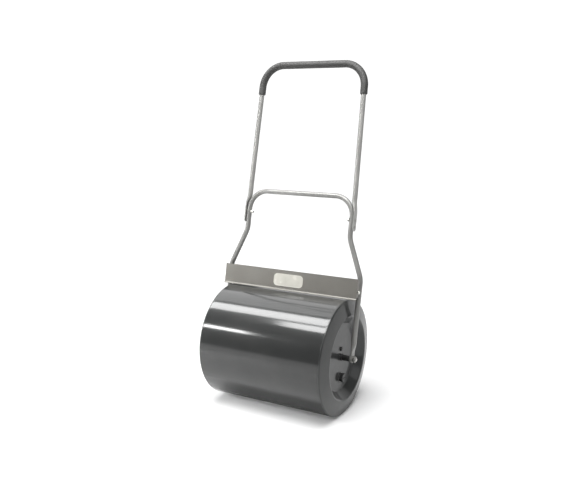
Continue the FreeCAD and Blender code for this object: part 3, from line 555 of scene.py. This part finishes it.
# the lower frame tube takes the darker frame_paint copy, which is painted shade
tube = piece("bent_frame_tube", bm, "frame", "tube_paint", ["lower_frame"], sharp=50.0, material="frame_paint")
carve(tube, [rod(-260, -220, 6.2, 0, 0, leaning), rod(220, 260, 6.2, 0, 0, leaning)])

HANDLE_TOP, HANDLE_SIDE, HANDLE_CORNER = 915.0, 189.4, 180.2
FOOT, FLAT_MID = 395.0, 196.75


def handle_end():
    """From the foot of the pressed end up to where the tube is round."""
    out = []
    for k in range(0, 8):
        h = FOOT + 9.0 * (1 - math.cos(math.pi / 2 * k / 8))
        width = 2.0 + 9.0 * math.sin(math.pi / 2 * k / 8)
        out.append((Vector((FLAT_MID, h)), Vector((0, 1)), 2.25 if k > 0 else 1.6, max(width, 2.3)))
    h = FOOT + 9.0
    while h < 450.0:
        out.append((Vector((FLAT_MID, h)), Vector((0, 1)), 2.25, 11.0))
        h += 3.0
    for k in range(0, 22):
        h = 450.0 + 42.0 * k / 22
        e = ease((h - 450.0) / 42.0)
        out.append((Vector((FLAT_MID - 7.35 * e, h)), Vector((-0.17 * 4 * e * (1 - e), 1)).normalized(),
                    2.25 + 5.75 * e, 11.0 - 3.0 * e))
    return out


end = handle_end()
mid = [(p, t, 8.0, 8.0) for p, t in bent(
    [(HANDLE_SIDE, 492.0), (HANDLE_SIDE, 508.0), (HANDLE_CORNER, HANDLE_TOP), (-HANDLE_CORNER, HANDLE_TOP),
     (-HANDLE_SIDE, 508.0), (-HANDLE_SIDE, 492.0)], [220, 72, 72, 220], step=2.5)]
other = [(Vector((-p.x, p.y)), Vector((t.x, -t.y)), hx, hy) for p, t, hx, hy in reversed(end)]
bm = bmesh.new()
swept(bm, end + mid + other, 56)
piece("bent_handle_tube", bm, "frame", "tube_paint", ["upper_handle"], sharp=50.0)

# -------------------------------------------------------------- foam grip
GRIP_R = 11.7
GRIP_START = 819.0
slope = (HANDLE_SIDE - HANDLE_CORNER) / (HANDLE_TOP - 508.0)
side = HANDLE_SIDE - (GRIP_START - 508.0) * slope
route = bent([(side, GRIP_START), (HANDLE_CORNER, HANDLE_TOP), (-HANDLE_CORNER, HANDLE_TOP), (-side, GRIP_START)],
             [72, 72], step=1.6, turn=math.radians(1.6))
total = sum((route[i + 1][0] - route[i][0]).length for i in range(len(route) - 1))
stations, along = [], 0.0
for i, (p, t) in enumerate(route):
    if i:
        along += (p - route[i - 1][0]).length
    edge = min(along, total - along)
    r = GRIP_R - 0.12 if edge > 2.6 else GRIP_R - 0.12 - (2.6 - math.sqrt(max(0.0, 2.6 ** 2 - (2.6 - edge) ** 2))) * 0.9
    # a soft sleeve over a bend is never quite even
    r += 0.10 * math.sin(along * 0.043) + 0.06 * math.sin(along * 0.171 + 1.3)
    stations.append((p, t, min(r, GRIP_R), min(r, GRIP_R)))
bm = bmesh.new()
rings = swept(bm, stations, 48, cap=False)
for ring, (p, t, _, _) in ((rings[0], stations[0]), (rings[-1], stations[-1])):
    normal = Vector((t.y, -t.x))
    inner = [bm.verts.new(leaning(*(lambda c: (c.x, 8.05 * math.sin(2 * math.pi * k / 48), c.y))(
        p + normal * 8.05 * math.cos(2 * math.pi * k / 48)))) for k in range(48)]
    deep = [bm.verts.new(leaning(*(lambda c: (c.x, 8.05 * math.sin(2 * math.pi * k / 48), c.y))(
        p + normal * 8.05 * math.cos(2 * math.pi * k / 48) + t * (6 if ring is rings[0] else -6)))) for k in range(48)]
    tube_faces(bm, [ring, inner, deep])
    bm.faces.new(deep)
piece("foam_sleeve", bm, "frame", "foam", ["foam_grip"], sharp=60.0)

# ------------------------------------------------------------------ drum
SEAM = math.radians(205.0)


def shell_turn(x, r, a):
    """The butt weld along the rolled shell stands a little proud."""
    gap = abs((a - SEAM + math.pi) % (2 * math.pi) - math.pi) * 180.0
    bead = max(0.0, 1.0 - (gap / 2.6) ** 2) * 0.35
    return r + bead * (0.7 + 0.3 * math.sin(x * 1.9)) if r > 184.5 and abs(x) < 204 else r


outer = [(-206.5, 183.6), (-206.5, 184.5), (-206.0, 184.95)]
outer += [(-205.5 + 411.0 * k / 100, 185.0) for k in range(101)]
outer += [(206.0, 184.95), (206.5, 184.5), (206.5, 183.6)]
bm = bmesh.new()
lathe(bm, outer, 360, turn=shell_turn)
piece("rolled_shell", bm, "drum", "drum_paint", ["drum_shell"])

WALL = 1.8
for name, sgn in (("right", 1), ("left", -1)):
    pts = [(206.5, 184.4), (207.1, 185.0), (211.5, 185.0), (223.5, 133.0), (197.5, 108.0), (197.5, 10.05),
           (197.5 - WALL, 10.05), (197.5 - WALL, 108.0 + 0.426 * WALL),
           (223.5 - 1.102 * WALL, 133.0 + 0.328 * WALL), (211.5 - 0.796 * WALL, 185.0 - WALL), (206.5, 185.0 - WALL)]
    prof = arc_profile(pts, [0, 0, 5.0, 9.0, 6.0, 0, 0, 6.0 + WALL, 9.0 - WALL, 5.0 - WALL, 0], fine=12)
    bm = bmesh.new()
    lathe(bm, [(sgn * x, r) for x, r in prof], 360)
    # the dished ends take end_paint, whose lighter base is painted light
    cap = piece("dished_end_" + name, bm, "drum", "drum_paint", ["end_cap_" + name], material="end_paint")
    if sgn > 0:
        carve(cap, [rod(185, 205, 16.0, 0, -67.0, count=64), rod(185, 205, 4.0, 0, 27.0)])
    # weld between the shell and the pressed end
    bm = bmesh.new()
    rings = []
    for k in range(720):
        a = 2 * math.pi * k / 720
        ripple = 0.10 * math.sin(k * 0.9) + 0.05 * math.sin(k * 0.37 + sgn)
        ring = []
        for q in range(8):
            b = math.pi * q / 7
            ring.append(bm.verts.new(upright(sgn * (206.7 + (1.1 + ripple) * math.cos(b)),
                                             (184.45 + (0.52 + 0.2 * ripple) * math.sin(b)) * math.cos(a),
                                             (184.45 + (0.52 + 0.2 * ripple) * math.sin(b)) * math.sin(a))))
        rings.append(ring)
    for i in range(720):
        j = (i + 1) % 720
        for q in range(7):
            bm.faces.new((rings[i][q], rings[i][q + 1], rings[j][q + 1], rings[j][q]))
        bm.faces.new((rings[i][7], rings[i][0], rings[j][0], rings[j][7]))
    piece("end_weld_" + name, bm, "drum", "drum_paint")


# ------------------------------------------------ scraper plate and badge
def sheet_outline(line, thick, fine=6):
    """Give a bent centre line of (y, h, radius) points its thickness."""
    route = bent([(y, h) for y, h, _ in line], [r for _, _, r in line[1:-1]], step=6.0, turn=math.radians(6.0))
    left, right = [], []
    for p, t in route:
        nrm = Vector((-t.y, t.x))
        left.append(p + nrm * thick / 2)
        right.append(p - nrm * thick / 2)
    return left + right[::-1]


FRONT, PLATE_HALF = 28.0, 240.0
LIP = [(-27.0, 250.0, 0), (-27.0, 189.0, 2.6), (-31.2, 185.0, 0)]
bm = bmesh.new()
ring_pts = sheet_outline(LIP, 2.0)
xs = [-PLATE_HALF + 0.25, -PLATE_HALF + 0.9] + [-235.0 + 470.0 * k / 60 for k in range(61)] + [PLATE_HALF - 0.9, PLATE_HALF - 0.25]
rings = []
for x in xs:
    rings.append([bm.verts.new(leaning(x, q.x, q.y)) for q in ring_pts])
tube_faces(bm, rings)
bm.faces.new(rings[0])
bm.faces.new(rings[-1])
plate = piece("scraper_sheet", bm, "frame", "plate_paint", ["scraper_plate"], sharp=40.0)


def rounded_polygon(points, radii, fine=6):
    return arc_profile(points, radii, fine)


for name, sgn in (("right", 1), ("left", -1)):
    # the side return, folded back off the face with a small outside radius
    bm = bmesh.new()
    pts = rounded_polygon([(-27.4, 193.0), (-9.5, 193.0), (-9.5, 246.0), (-27.4, 246.0)], [0, 6.0, 6.0, 0])
    rings = []
    for x in (PLATE_HALF, PLATE_HALF - 0.25, PLATE_HALF - 1.75, PLATE_HALF - 2.0):
        inset = 0.22 if x in (PLATE_HALF, PLATE_HALF - 2.0) else 0.0
        ring = []
        for y, h in pts:
            c = Vector((-18.5, 219.5))
            v = Vector((y, h)) - c
            q = c + Vector((v.x * (1 - inset / 9.0), v.y * (1 - inset / 26.0)))
            ring.append(bm.verts.new(leaning(sgn * x, q.x, q.y)))
        rings.append(ring)
    tube_faces(bm, rings)
    bm.faces.new(rings[0])
    bm.faces.new(rings[-1])
    ear = piece("side_return_" + name, bm, "frame", "plate_paint", sharp=40.0)
    carve(ear, [rod(sgn * 245, sgn * 230, 3.2, -18.0, 209.0, leaning)])

# the blank badge: a domed plate with a fine raised border
bm = bmesh.new()
BW, BL, BH = 53.0, 198.0, 238.0


def badge_ring(inset, out):
    r = max(13.0 - inset, 1.0)
    pts = arc_profile([(-BW + inset, BL + inset), (BW - inset, BL + inset), (BW - inset, BH - inset),
                       (-BW + inset, BH - inset)], [r] * 4, fine=12)
    return [bm.verts.new(leaning(x, -FRONT - out, h)) for x, h in pts]


rings = [badge_ring(0.0, 0.02), badge_ring(0.0, 0.55), badge_ring(0.35, 0.9), badge_ring(1.2, 1.0),
         badge_ring(1.9, 0.9), badge_ring(2.2, 0.62), badge_ring(2.8, 0.58), badge_ring(4.2, 0.72),
         badge_ring(7.0, 0.84), badge_ring(10.5, 0.92), badge_ring(12.0, 0.94)]
tube_faces(bm, rings)
bm.faces.new(rings[0])
bm.faces.new(rings[-1])
piece("blank_badge", bm, "frame", "badge_plastic", ["badge"], sharp=38.0)


# ------------------------------------------------------ threads and turning
def threaded(bm, x0, x1, radius, pitch, depth, centre=(0.0, 0.0), place=upright, count=40, taper=(True, True)):
    """A closed threaded stud between x0 and x1."""
    steps = max(4, int(abs(x1 - x0) / pitch * 8))
    rings = [[bm.verts.new(place(x0, *centre))]]
    for i in range(steps + 1):
        x = x0 + (x1 - x0) * i / steps
        near = min(abs(x - x0) if taper[0] else 99, abs(x - x1) if taper[1] else 99)
        ring = []
        for k in range(count):
            a = 2 * math.pi * k / count
            w = (x / pitch - a / (2 * math.pi)) % 1.0
            groove = depth * (1 - abs(2 * w - 1)) ** 1.0
            r = radius - groove
            r = min(r, radius - depth * 1.1 + near * 0.9)
            ring.append(bm.verts.new(place(x, centre[0] + r * math.cos(a), centre[1] + r * math.sin(a))))
        rings.append(ring)
    rings.append([bm.verts.new(place(x1, *centre))])
    for a, b in zip(rings, rings[1:]):
        for i in range(count):
            j = (i + 1) % count
            if len(a) == 1:
                bm.faces.new((a[0], b[j], b[i]))
            elif len(b) == 1:
                bm.faces.new((a[i], a[j], b[0]))
            else:
                bm.faces.new((a[i], a[j], b[j], b[i]))


def hex_nut(bm, x0, x1, flats, bore, centre=(0.0, 0.0), place=upright, turn=0.0, washer_face=False, per_side=8):
    """A hexagon with domed corners, a chamfered bore and softened edges."""
    count = 6 * per_side
    apothem = flats / 2
    long = x1 - x0

    def hexa(a, scale=1.0, cap=99.0):
        k = (a - turn) % (math.pi / 3) - math.pi / 6
        r = apothem / math.cos(k)
        limit = apothem / math.cos(math.pi / 6) * 0.985
        return min(min(r, limit) * scale, cap)

    levels = [(0.0, apothem * 0.97), (0.06, apothem * 1.0), (0.10, apothem * 1.035), (0.17, apothem * 1.10), (0.24, 99.0),
              (0.76, 99.0), (0.83, apothem * 1.10), (0.90, apothem * 1.035), (0.94, apothem * 1.0), (1.0, apothem * 0.97)]
    rings = []
    rows = [(0.10, bore), (0.0, bore + 0.10 * abs(long))] + [(f, None) for f, _ in levels] + [
        (1.0, bore + 0.10 * abs(long)), (0.90, bore)]
    caps = dict(levels)
    for f, r in rows:
        ring = []
        for k in range(count):
            a = 2 * math.pi * k / count
            rr = r if r is not None else hexa(a, 1.0, caps[f])
            ring.append(bm.verts.new(place(x0 + long * f, centre[0] + rr * math.cos(a), centre[1] + rr * math.sin(a))))
        rings.append(ring)
    tube_faces(bm, rings, closed=True)


def flat_washer(bm, x0, x1, radius, bore, centre=(0.0, 0.0), place=upright, count=56):
    e = abs(x1 - x0) * 0.22
    s = 1 if x1 > x0 else -1
    lathe(bm, [(x0, bore), (x0, radius - e), (x0 + s * e, radius), (x1 - s * e, radius), (x1, radius - e),
               (x1, bore)], count, centre, place)


# axle: a turned rod with threaded ends
bm = bmesh.new()
lathe(bm, [(-228.0, 0.0), (-228.0, 5.3), (-227.3, 5.98), (227.3, 5.98), (228.0, 5.3), (228.0, 0.0)], 64, closed=False)
threaded(bm, 227.6, 251.0, 5.98, 1.75, 0.85, count=56, taper=(False, True))
threaded(bm, -227.6, -251.0, 5.98, 1.75, 0.85, count=56, taper=(False, True))
piece("threaded_axle", bm, "frame", "axle_steel", ["axle"], sharp=30.0)

bm = bmesh.new()
for s in (1, -1):
    hex_nut(bm, s * 240.1, s * 248.1, 18.0, 5.4, place=leaning, turn=0.35 * s)
piece("outer_nuts", bm, "frame", "zinc", ["axle_nuts"], sharp=30.0, material="dull_zinc")
bm = bmesh.new()
for s in (1, -1):
    hex_nut(bm, s * 228.6, s * 234.5, 18.0, 5.4, place=leaning, turn=0.12)
piece("inner_nuts", bm, "frame", "zinc", ["jam_nuts"], sharp=30.0, material="dull_zinc")
bm = bmesh.new()
for s in (1, -1):
    flat_washer(bm, s * 238.55, s * 240.1, 11.0, 6.05, place=leaning)
piece("outer_washers", bm, "frame", "zinc", ["axle_washers"], sharp=30.0, material="dull_zinc")
bm = bmesh.new()
for s in (1, -1):
    lathe(bm, [(s * x, r) for x, r in ((205.0, 6.1), (205.0, 8.4), (205.5, 8.95), (211.0, 9.0), (216.7, 8.9),
                                       (222.0, 9.0), (228.0, 8.95), (228.5, 8.4), (228.5, 6.1))], 64)
piece("axle_spacers", bm, "frame", "black_nylon", ["spacer_sleeves"], sharp=30.0)


def dome_profile(face, radius, high, s, fine=8):
    out = [(face, 0.0), (face, radius - 0.3), (face + s * 0.35, radius)]
    for k in range(1, fine + 1):
        a = math.pi / 2 * k / fine
        out.append((face + s * (0.35 + (high - 0.35) * math.sin(a)), radius * math.cos(a) if k < fine else 0.0))
    return out


# handle joint: domed heads outside, nuts and washers inside the neck
bm = bmesh.new()
for s in (1, -1):
    lathe(bm, dome_profile(s * 199.0, 6.0, 2.6, s), 48, (0.0, 430.0), leaning, closed=False)
    threaded(bm, s * 198.6, s * 170.3, 2.98, 1.0, 0.5, (0.0, 430.0), leaning, 24, taper=(False, True))
piece("joint_bolts", bm, "frame", "zinc", ["handle_bolts"], sharp=30.0, material="dull_zinc")
bm = bmesh.new()
for s in (1, -1):
    lathe(bm, dome_profile(s * 199.0, 6.0, 2.6, s), 48, (0.0, 409.0), leaning, closed=False)
    threaded(bm, s * 198.6, s * 187.5, 2.98, 1.0, 0.5, (0.0, 409.0), leaning, 24, taper=(False, True))
piece("joint_screws", bm, "frame", "zinc", ["handle_screws"], sharp=30.0, material="dull_zinc")
bm = bmesh.new()
for s in (1, -1):
    hex_nut(bm, s * 172.35, s * 177.25, 10.0, 2.6, (0.0, 430.0), leaning, turn=0.2)
piece("joint_nuts", bm, "frame", "zinc", ["handle_nuts"], sharp=30.0)
bm = bmesh.new()
for s in (1, -1):
    flat_washer(bm, s * 177.3, s * 178.45, 6.0, 3.05, (0.0, 430.0), leaning)
piece("joint_washers", bm, "frame", "zinc", ["handle_washers"], sharp=30.0)

# scraper fixings
bm = bmesh.new()
for s in (1, -1):
    hex_nut(bm, s * 240.0, s * 244.0, 10.0, 1.2, (-18.0, 209.0), leaning, turn=0.3)
    lathe(bm, [(s * 243.4, 0.0), (s * 243.4, 1.9), (s * 242.6, 1.9), (s * 242.6, 0.0)], 24, (-18.0, 209.0), leaning, closed=False)
    threaded(bm, s * 241.0, s * 228.0, 2.98, 1.0, 0.5, (-18.0, 209.0), leaning, 24, taper=(False, True))
piece("fixing_bolts", bm, "frame", "zinc", ["scraper_bolts"], sharp=30.0)
bm = bmesh.new()
for s in (1, -1):
    hex_nut(bm, s * 230.05, s * 234.95, 10.0, 2.6, (-18.0, 209.0), leaning, turn=0.1)
piece("fixing_nuts", bm, "frame", "zinc", ["scraper_nuts"], sharp=30.0)


# weld beads round the foot of each lug, where it meets the leg
def bead(name, path, radius, body="frame", slot="tube_paint", seed=1):
    rng = random.Random(seed)
    bm = bmesh.new()
    rings = []
    n = len(path)
    for i, p in enumerate(path):
        t = (path[min(i + 1, n - 1)] - path[max(i - 1, 0)]).normalized()
        up = Vector((0, 0, 1)) if abs(t.z) < 0.9 else Vector((1, 0, 0))
        a = t.cross(up).normalized()
        b = t.cross(a).normalized()
        fade = min(1.0, 0.35 + 0.65 * min(i, n - 1 - i) / 2.0)
        r = radius * fade * (1.0 + 0.16 * math.sin(i * 1.9) + 0.08 * rng.uniform(-1, 1))
        rings.append([bm.verts.new(p + (a * math.cos(2 * math.pi * k / 12) + b * math.sin(2 * math.pi * k / 12)) * r)
                      for k in range(12)])
    tube_faces(bm, rings)
    bm.faces.new(rings[0])
    bm.faces.new(rings[-1])
    return piece(name, bm, body, slot, sharp=60.0)


for s, tag in ((1, "right"), (-1, "left")):
    lx = 235.0
    gap = math.sqrt(max(0.0, 64.0 - (lx - LEG) ** 2))
    for x, which in ((238.0, "out"), (235.0, "in")):
        yy = -math.sqrt(64.0 - (x - LEG) ** 2)
        path = [leaning(s * x, yy, 198.5 + 21.0 * k / 20) for k in range(21)]
        bead("lug_weld_%s_%s" % (tag, which), path, 0.0011, seed=int(x) + s)

# lugs that carry the scraper
for s, tag in ((1, "right"), (-1, "left")):
    bm = bmesh.new()
    pts = rounded_polygon([(-25.0, 196.0), (-7.85, 196.0), (-7.85, 222.0), (-25.0, 222.0)], [5.0, 0, 0, 5.0])
    rings = []
    for x, inset in ((235.0, 0.3), (235.3, 0.0), (237.7, 0.0), (238.0, 0.3)):
        ring = []
        for y, h in pts:
            v = Vector((y + 16.4, h - 209.0))
            k = Vector((1 - inset / 8.6, 1 - inset / 13.0))
            ring.append(bm.verts.new(leaning(s * x, -16.4 + v.x * k.x, 209.0 + v.y * k.y)))
        rings.append(ring)
    tube_faces(bm, rings)
    bm.faces.new(rings[0])
    bm.faces.new(rings[-1])
    lug = piece("fixing_lug_" + tag, bm, "frame", "tube_paint", ["scraper_lugs"] if s > 0 else (), sharp=40.0)
    carve(lug, [rod(s * 233, s * 240, 3.2, -18.0, 209.0, leaning, 32)])

# ------------------------------------------------------ filler and vent
DROP = -67.0
bm = bmesh.new()


def inner_thread(x, r, a):
    if abs(r - 11.0) > 0.01:
        return r
    w = (x / 2.5 - a / (2 * math.pi)) % 1.0
    return 11.0 + 0.9 * (1 - abs(2 * w - 1))


prof = [(199.0, 15.2), (198.2, 16.0), (188.5, 16.0), (188.5, 11.8)]
prof += [(188.6 + 9.4 * k / 32, 11.0) for k in range(33)] + [(199.0, 11.9)]
lathe(bm, prof, 96, (0.0, DROP), turn=inner_thread)
piece("threaded_boss", bm, "drum", "tank_steel", ["filler_socket"])

# weld round the boss
bm = bmesh.new()
rings = []
for k in range(180):
    a = 2 * math.pi * k / 180
    w = 1.0 + 0.12 * math.sin(k * 0.75) + 0.05 * math.sin(k * 0.31)
    rings.append([bm.verts.new(upright(197.5 + 1.05 * w * math.sin(math.pi * q / 6),
                                       (16.2 + 1.3 * w * math.cos(math.pi * q / 6)) * math.cos(a),
                                       DROP + (16.2 + 1.3 * w * math.cos(math.pi * q / 6)) * math.sin(a)))
                  for q in range(7)])
tube_faces(bm, rings, closed=True)
piece("boss_weld", bm, "drum", "drum_paint", sharp=60.0)

bm = bmesh.new()
lathe(bm, arc_profile([(199.02, 11.05), (200.48, 11.05), (200.48, 13.5), (199.02, 13.5)], [0.3, 0.3, 0.6, 0.6], 5),
      72, (0.0, DROP))
piece("sealing_ring", bm, "seal", "seal_rubber", ["plug_seal"])


def flute(x, r, a):
    if r < 12.4 or x < 201.9:
        return r
    k = (a % (math.pi / 6)) - math.pi / 12
    s = 14.9 * math.sin(k)
    if abs(s) >= 2.2:
        return r
    cut = 14.9 * math.cos(k) - math.sqrt(2.2 * 2.2 - s * s)
    return min(r, max(cut, 12.3))


bm = bmesh.new()
prof = [(200.5, 0.0), (200.5, 13.3), (200.8, 13.7), (201.8, 13.8), (202.0, 14.0)]
prof += [(202.4 + 6.4 * k / 6, 14.0) for k in range(7)]
prof += [(208.9 + 1.6 * math.sin(math.pi / 2 * k / 7), 12.4 + 1.6 * math.cos(math.pi / 2 * k / 7)) for k in range(1, 8)]
prof += [(210.5, 11.6), (210.15, 11.0), (210.15, 6.0), (210.3, 0.0)]
lathe(bm, prof, 192, (0.0, DROP), turn=flute, closed=False)
head = piece("plug_head", bm, "plug", "black_nylon", ["filler_plug"], sharp=30.0)


def block(x0, x1, y0, y1, z0, z1, place=upright):
    bm = bmesh.new()
    vs = [bm.verts.new(place(x, y, z)) for x in (x0, x1) for y in (y0, y1) for z in (z0, z1)]
    for f in ((0, 1, 3, 2), (4, 6, 7, 5), (0, 4, 5, 1), (2, 3, 7, 6), (0, 2, 6, 4), (1, 5, 7, 3)):
        bm.faces.new([vs[i] for i in f])
    bmesh.ops.recalc_face_normals(bm, faces=bm.faces)
    bmesh.ops.bevel(bm, geom=list(bm.edges), offset=0.0004, segments=3, affect="EDGES", profile=0.5)
    me = bpy.data.meshes.new("cutter")
    bm.to_mesh(me)
    bm.free()
    return me


carve(head, [block(207.5, 216.0, -8.0, 8.0, DROP - 1.4, DROP + 1.4)])
bm = bmesh.new()
threaded(bm, 190.0, 200.7, 10.85, 2.5, 0.9, (0.0, DROP), upright, 72, taper=(True, False))
piece("plug_thread", bm, "plug", "black_nylon", sharp=30.0)

bm = bmesh.new()
prof = [(188.5, 0.0), (188.5, 3.6), (189.0, 4.0), (197.55, 4.0), (197.55, 6.2), (197.9, 6.5), (199.8, 6.5)]
prof += [(199.8 + 2.2 * math.sin(math.pi / 2 * k / 7), 4.2 + 2.3 * math.cos(math.pi / 2 * k / 7)) for k in range(1, 8)]
prof += [(202.0, 0.0)]
lathe(bm, prof, 64, (0.0, 27.0), closed=False)
vent = piece("vent_plug", bm, "drum", "black_nylon", ["vent_screw"], sharp=30.0)
carve(vent, [block(200.2, 206.0, -4.5, 4.5, 26.3, 27.7)])

for s, tag in ((1, "right"), (-1, "left")):
    bm = bmesh.new()
    pts = [(181.5, 6.06), (204.5, 6.06), (204.5, 12.0), (201.55, 12.0), (201.55, 7.96), (181.5, 7.96)]
    prof = arc_profile(pts, [0.4, 0.5, 0.9, 0, 0, 0.4], 4)
    lathe(bm, [(s * x, r) for x, r in prof], 72)
    piece("nylon_bush_" + tag, bm, "drum", "black_nylon", ["bush_" + tag], sharp=30.0)

# ------------------------------------------------------------------- stage
def stage_floor():
    bm = bmesh.new()
    size = 16.0
    bmesh.ops.create_grid(bm, x_segments=24, y_segments=24, size=size)
    me = bpy.data.meshes.new("studio_floor")
    bm.to_mesh(me)
    bm.free()
    ob = bpy.data.objects.new("studio_floor", me)
    ob.location = (0, 0, -0.0004)
    scene.collection.objects.link(ob)
    g = Graph("studio_floor")
    g.link(g.ramp(g.noise(3.0, 3.0, 0.5), [(0.3, (0.80, 0.80, 0.80)), (0.7, (0.83, 0.83, 0.83))]),
           g.bsdf.inputs["Base Color"])
    g.bsdf.inputs["Roughness"].default_value = 0.9
    g.bsdf.inputs["Specular IOR Level"].default_value = 0.1
    g.bsdf.inputs["Emission Color"].default_value = (1, 1, 1, 1)
    g.bsdf.inputs["Emission Strength"].default_value = 0.12
    me.materials.append(g.mat)
    return ob


stage_floor()


def shade_card():
    """A dark soft-edged card on the ground under the drum, seen by reflections
    alone: the drum's lowest part mirrors ground in deep shade."""
    bm = bmesh.new()
    spread = [(-0.26, -0.21), (0.24, -0.21), (0.24, 0.21), (-0.26, 0.21)]
    bm.faces.new([bm.verts.new((x, y, -0.0002)) for x, y in spread])
    me = bpy.data.meshes.new("shade_card")
    bm.to_mesh(me)
    bm.free()
    ob = bpy.data.objects.new("shade_card", me)
    scene.collection.objects.link(ob)
    for ray in ("camera", "diffuse", "transmission", "shadow", "volume_scatter"):
        setattr(ob, "visible_" + ray, False)
    g = Graph("shade_card")
    g.link(g.ramp(g.noise(3.0, 3.0, 0.5), [(0.3, (0.25, 0.25, 0.25)), (0.7, (0.28, 0.28, 0.28))]),
           g.bsdf.inputs["Base Color"])
    place = g.add("ShaderNodeSeparateXYZ")
    g.link(g.coord, place.inputs[0])

    def edge(axis, clear, full):
        n = g.add("ShaderNodeMapRange", interpolation_type="SMOOTHSTEP")
        n.inputs["From Min"].default_value = clear
        n.inputs["From Max"].default_value = full
        g.link(place.outputs[axis], n.inputs["Value"])
        return n.outputs["Result"]

    across = g.math("MULTIPLY", edge("X", -0.25, -0.12), edge("X", 0.235, 0.195))
    along = g.math("MULTIPLY", edge("Y", -0.20, -0.16), edge("Y", 0.20, 0.16))
    g.link(g.math("MULTIPLY", across, along), g.bsdf.inputs["Alpha"])
    g.bsdf.inputs["Roughness"].default_value = 0.9
    g.bsdf.inputs["Specular IOR Level"].default_value = 0.0
    g.bsdf.inputs["Emission Color"].default_value = (1, 1, 1, 1)
    g.bsdf.inputs["Emission Strength"].default_value = 0.03
    me.materials.append(g.mat)


shade_card()

world = bpy.data.worlds.new("studio")
scene.world = world
world.use_nodes = True
wt = world.node_tree
wt.nodes.clear()
w_out = wt.nodes.new("ShaderNodeOutputWorld")
w_room = wt.nodes.new("ShaderNodeBackground")
w_room.inputs["Color"].default_value = (0.97, 0.98, 1.0, 1)
w_room.inputs["Strength"].default_value = 0.12
w_sweep = wt.nodes.new("ShaderNodeBackground")
w_sweep.inputs["Color"].default_value = (1, 1, 1, 1)
w_sweep.inputs["Strength"].default_value = 1.1
w_path = wt.nodes.new("ShaderNodeLightPath")
w_mix = wt.nodes.new("ShaderNodeMixShader")
wt.links.new(w_path.outputs["Is Camera Ray"], w_mix.inputs[0])
wt.links.new(w_room.outputs[0], w_mix.inputs[1])
wt.links.new(w_sweep.outputs[0], w_mix.inputs[2])
wt.links.new(w_mix.outputs[0], w_out.inputs["Surface"])


def strip(name, centre, size_x, size_y, power, aim, color=(1, 1, 1)):
    data = bpy.data.lights.new(name, "AREA")
    data.shape = "RECTANGLE"
    data.size, data.size_y = size_x, size_y
    data.energy = power
    data.color = color
    ob = bpy.data.objects.new(name, data)
    scene.collection.objects.link(ob)
    ob.location = centre
    direction = Vector(aim) - Vector(centre)
    z = -direction.normalized()
    x = Vector((1, 0, 0))
    y = z.cross(x).normalized()
    x = y.cross(z).normalized()
    ob.rotation_euler = Matrix((x, y, z)).transposed().to_euler()
    ob.visible_camera = False
    return ob


def sky_light(name, towards, strength, degrees):
    """A wide soft light from one direction, the same all over the floor. It
    lights surfaces and casts the shadow, and isn't mirrored in the paint."""
    data = bpy.data.lights.new(name, "SUN")
    data.energy = strength
    data.angle = math.radians(degrees)
    ob = bpy.data.objects.new(name, data)
    scene.collection.objects.link(ob)
    ob.rotation_euler = Vector(towards).to_track_quat("Z", "Y").to_euler()
    ob.visible_glossy = False
    return ob


# A broad overhead light for the floor and its shadow, then the long overhead
# tube, the dimmer one ahead of it and the left front one, which the drum mirrors.
sky_light("broad_top", (0.04, -0.30, 1.0), 3.7, 44)
for light in (
    strip("overhead_strip", (-0.9, -0.36, 2.35), 3.4, 0.58, 84, (-0.9, 0, 0.3)),
    strip("overhead_front", (0.24, -1.00, 2.3), 2.66, 0.44, 56, (0.24, 0, 0.3)),
    strip("overhead_back", (-0.9, 0.85, 2.35), 3.2, 1.5, 38, (-0.9, 0, 0.3)),
    strip("right_card", (2.1, -0.5, 1.6), 1.6, 1.6, 9, (0.2, 0, 0.2)),
    strip("back_card", (0.3, 2.8, 1.25), 4.2, 1.7, 17, (0.3, 0, 0.5)),
):
    light.visible_diffuse = False
strip("left_strip", (-2.19, -2.10, 1.67), 1.5, 0.22, 34, (-2.19, -0.2, 0.3))
fill = strip("left_fill", (-0.95, -0.85, 0.55), 0.5, 0.5, 10.5, (-0.2, 0, 0.42))
fill.visible_glossy = False
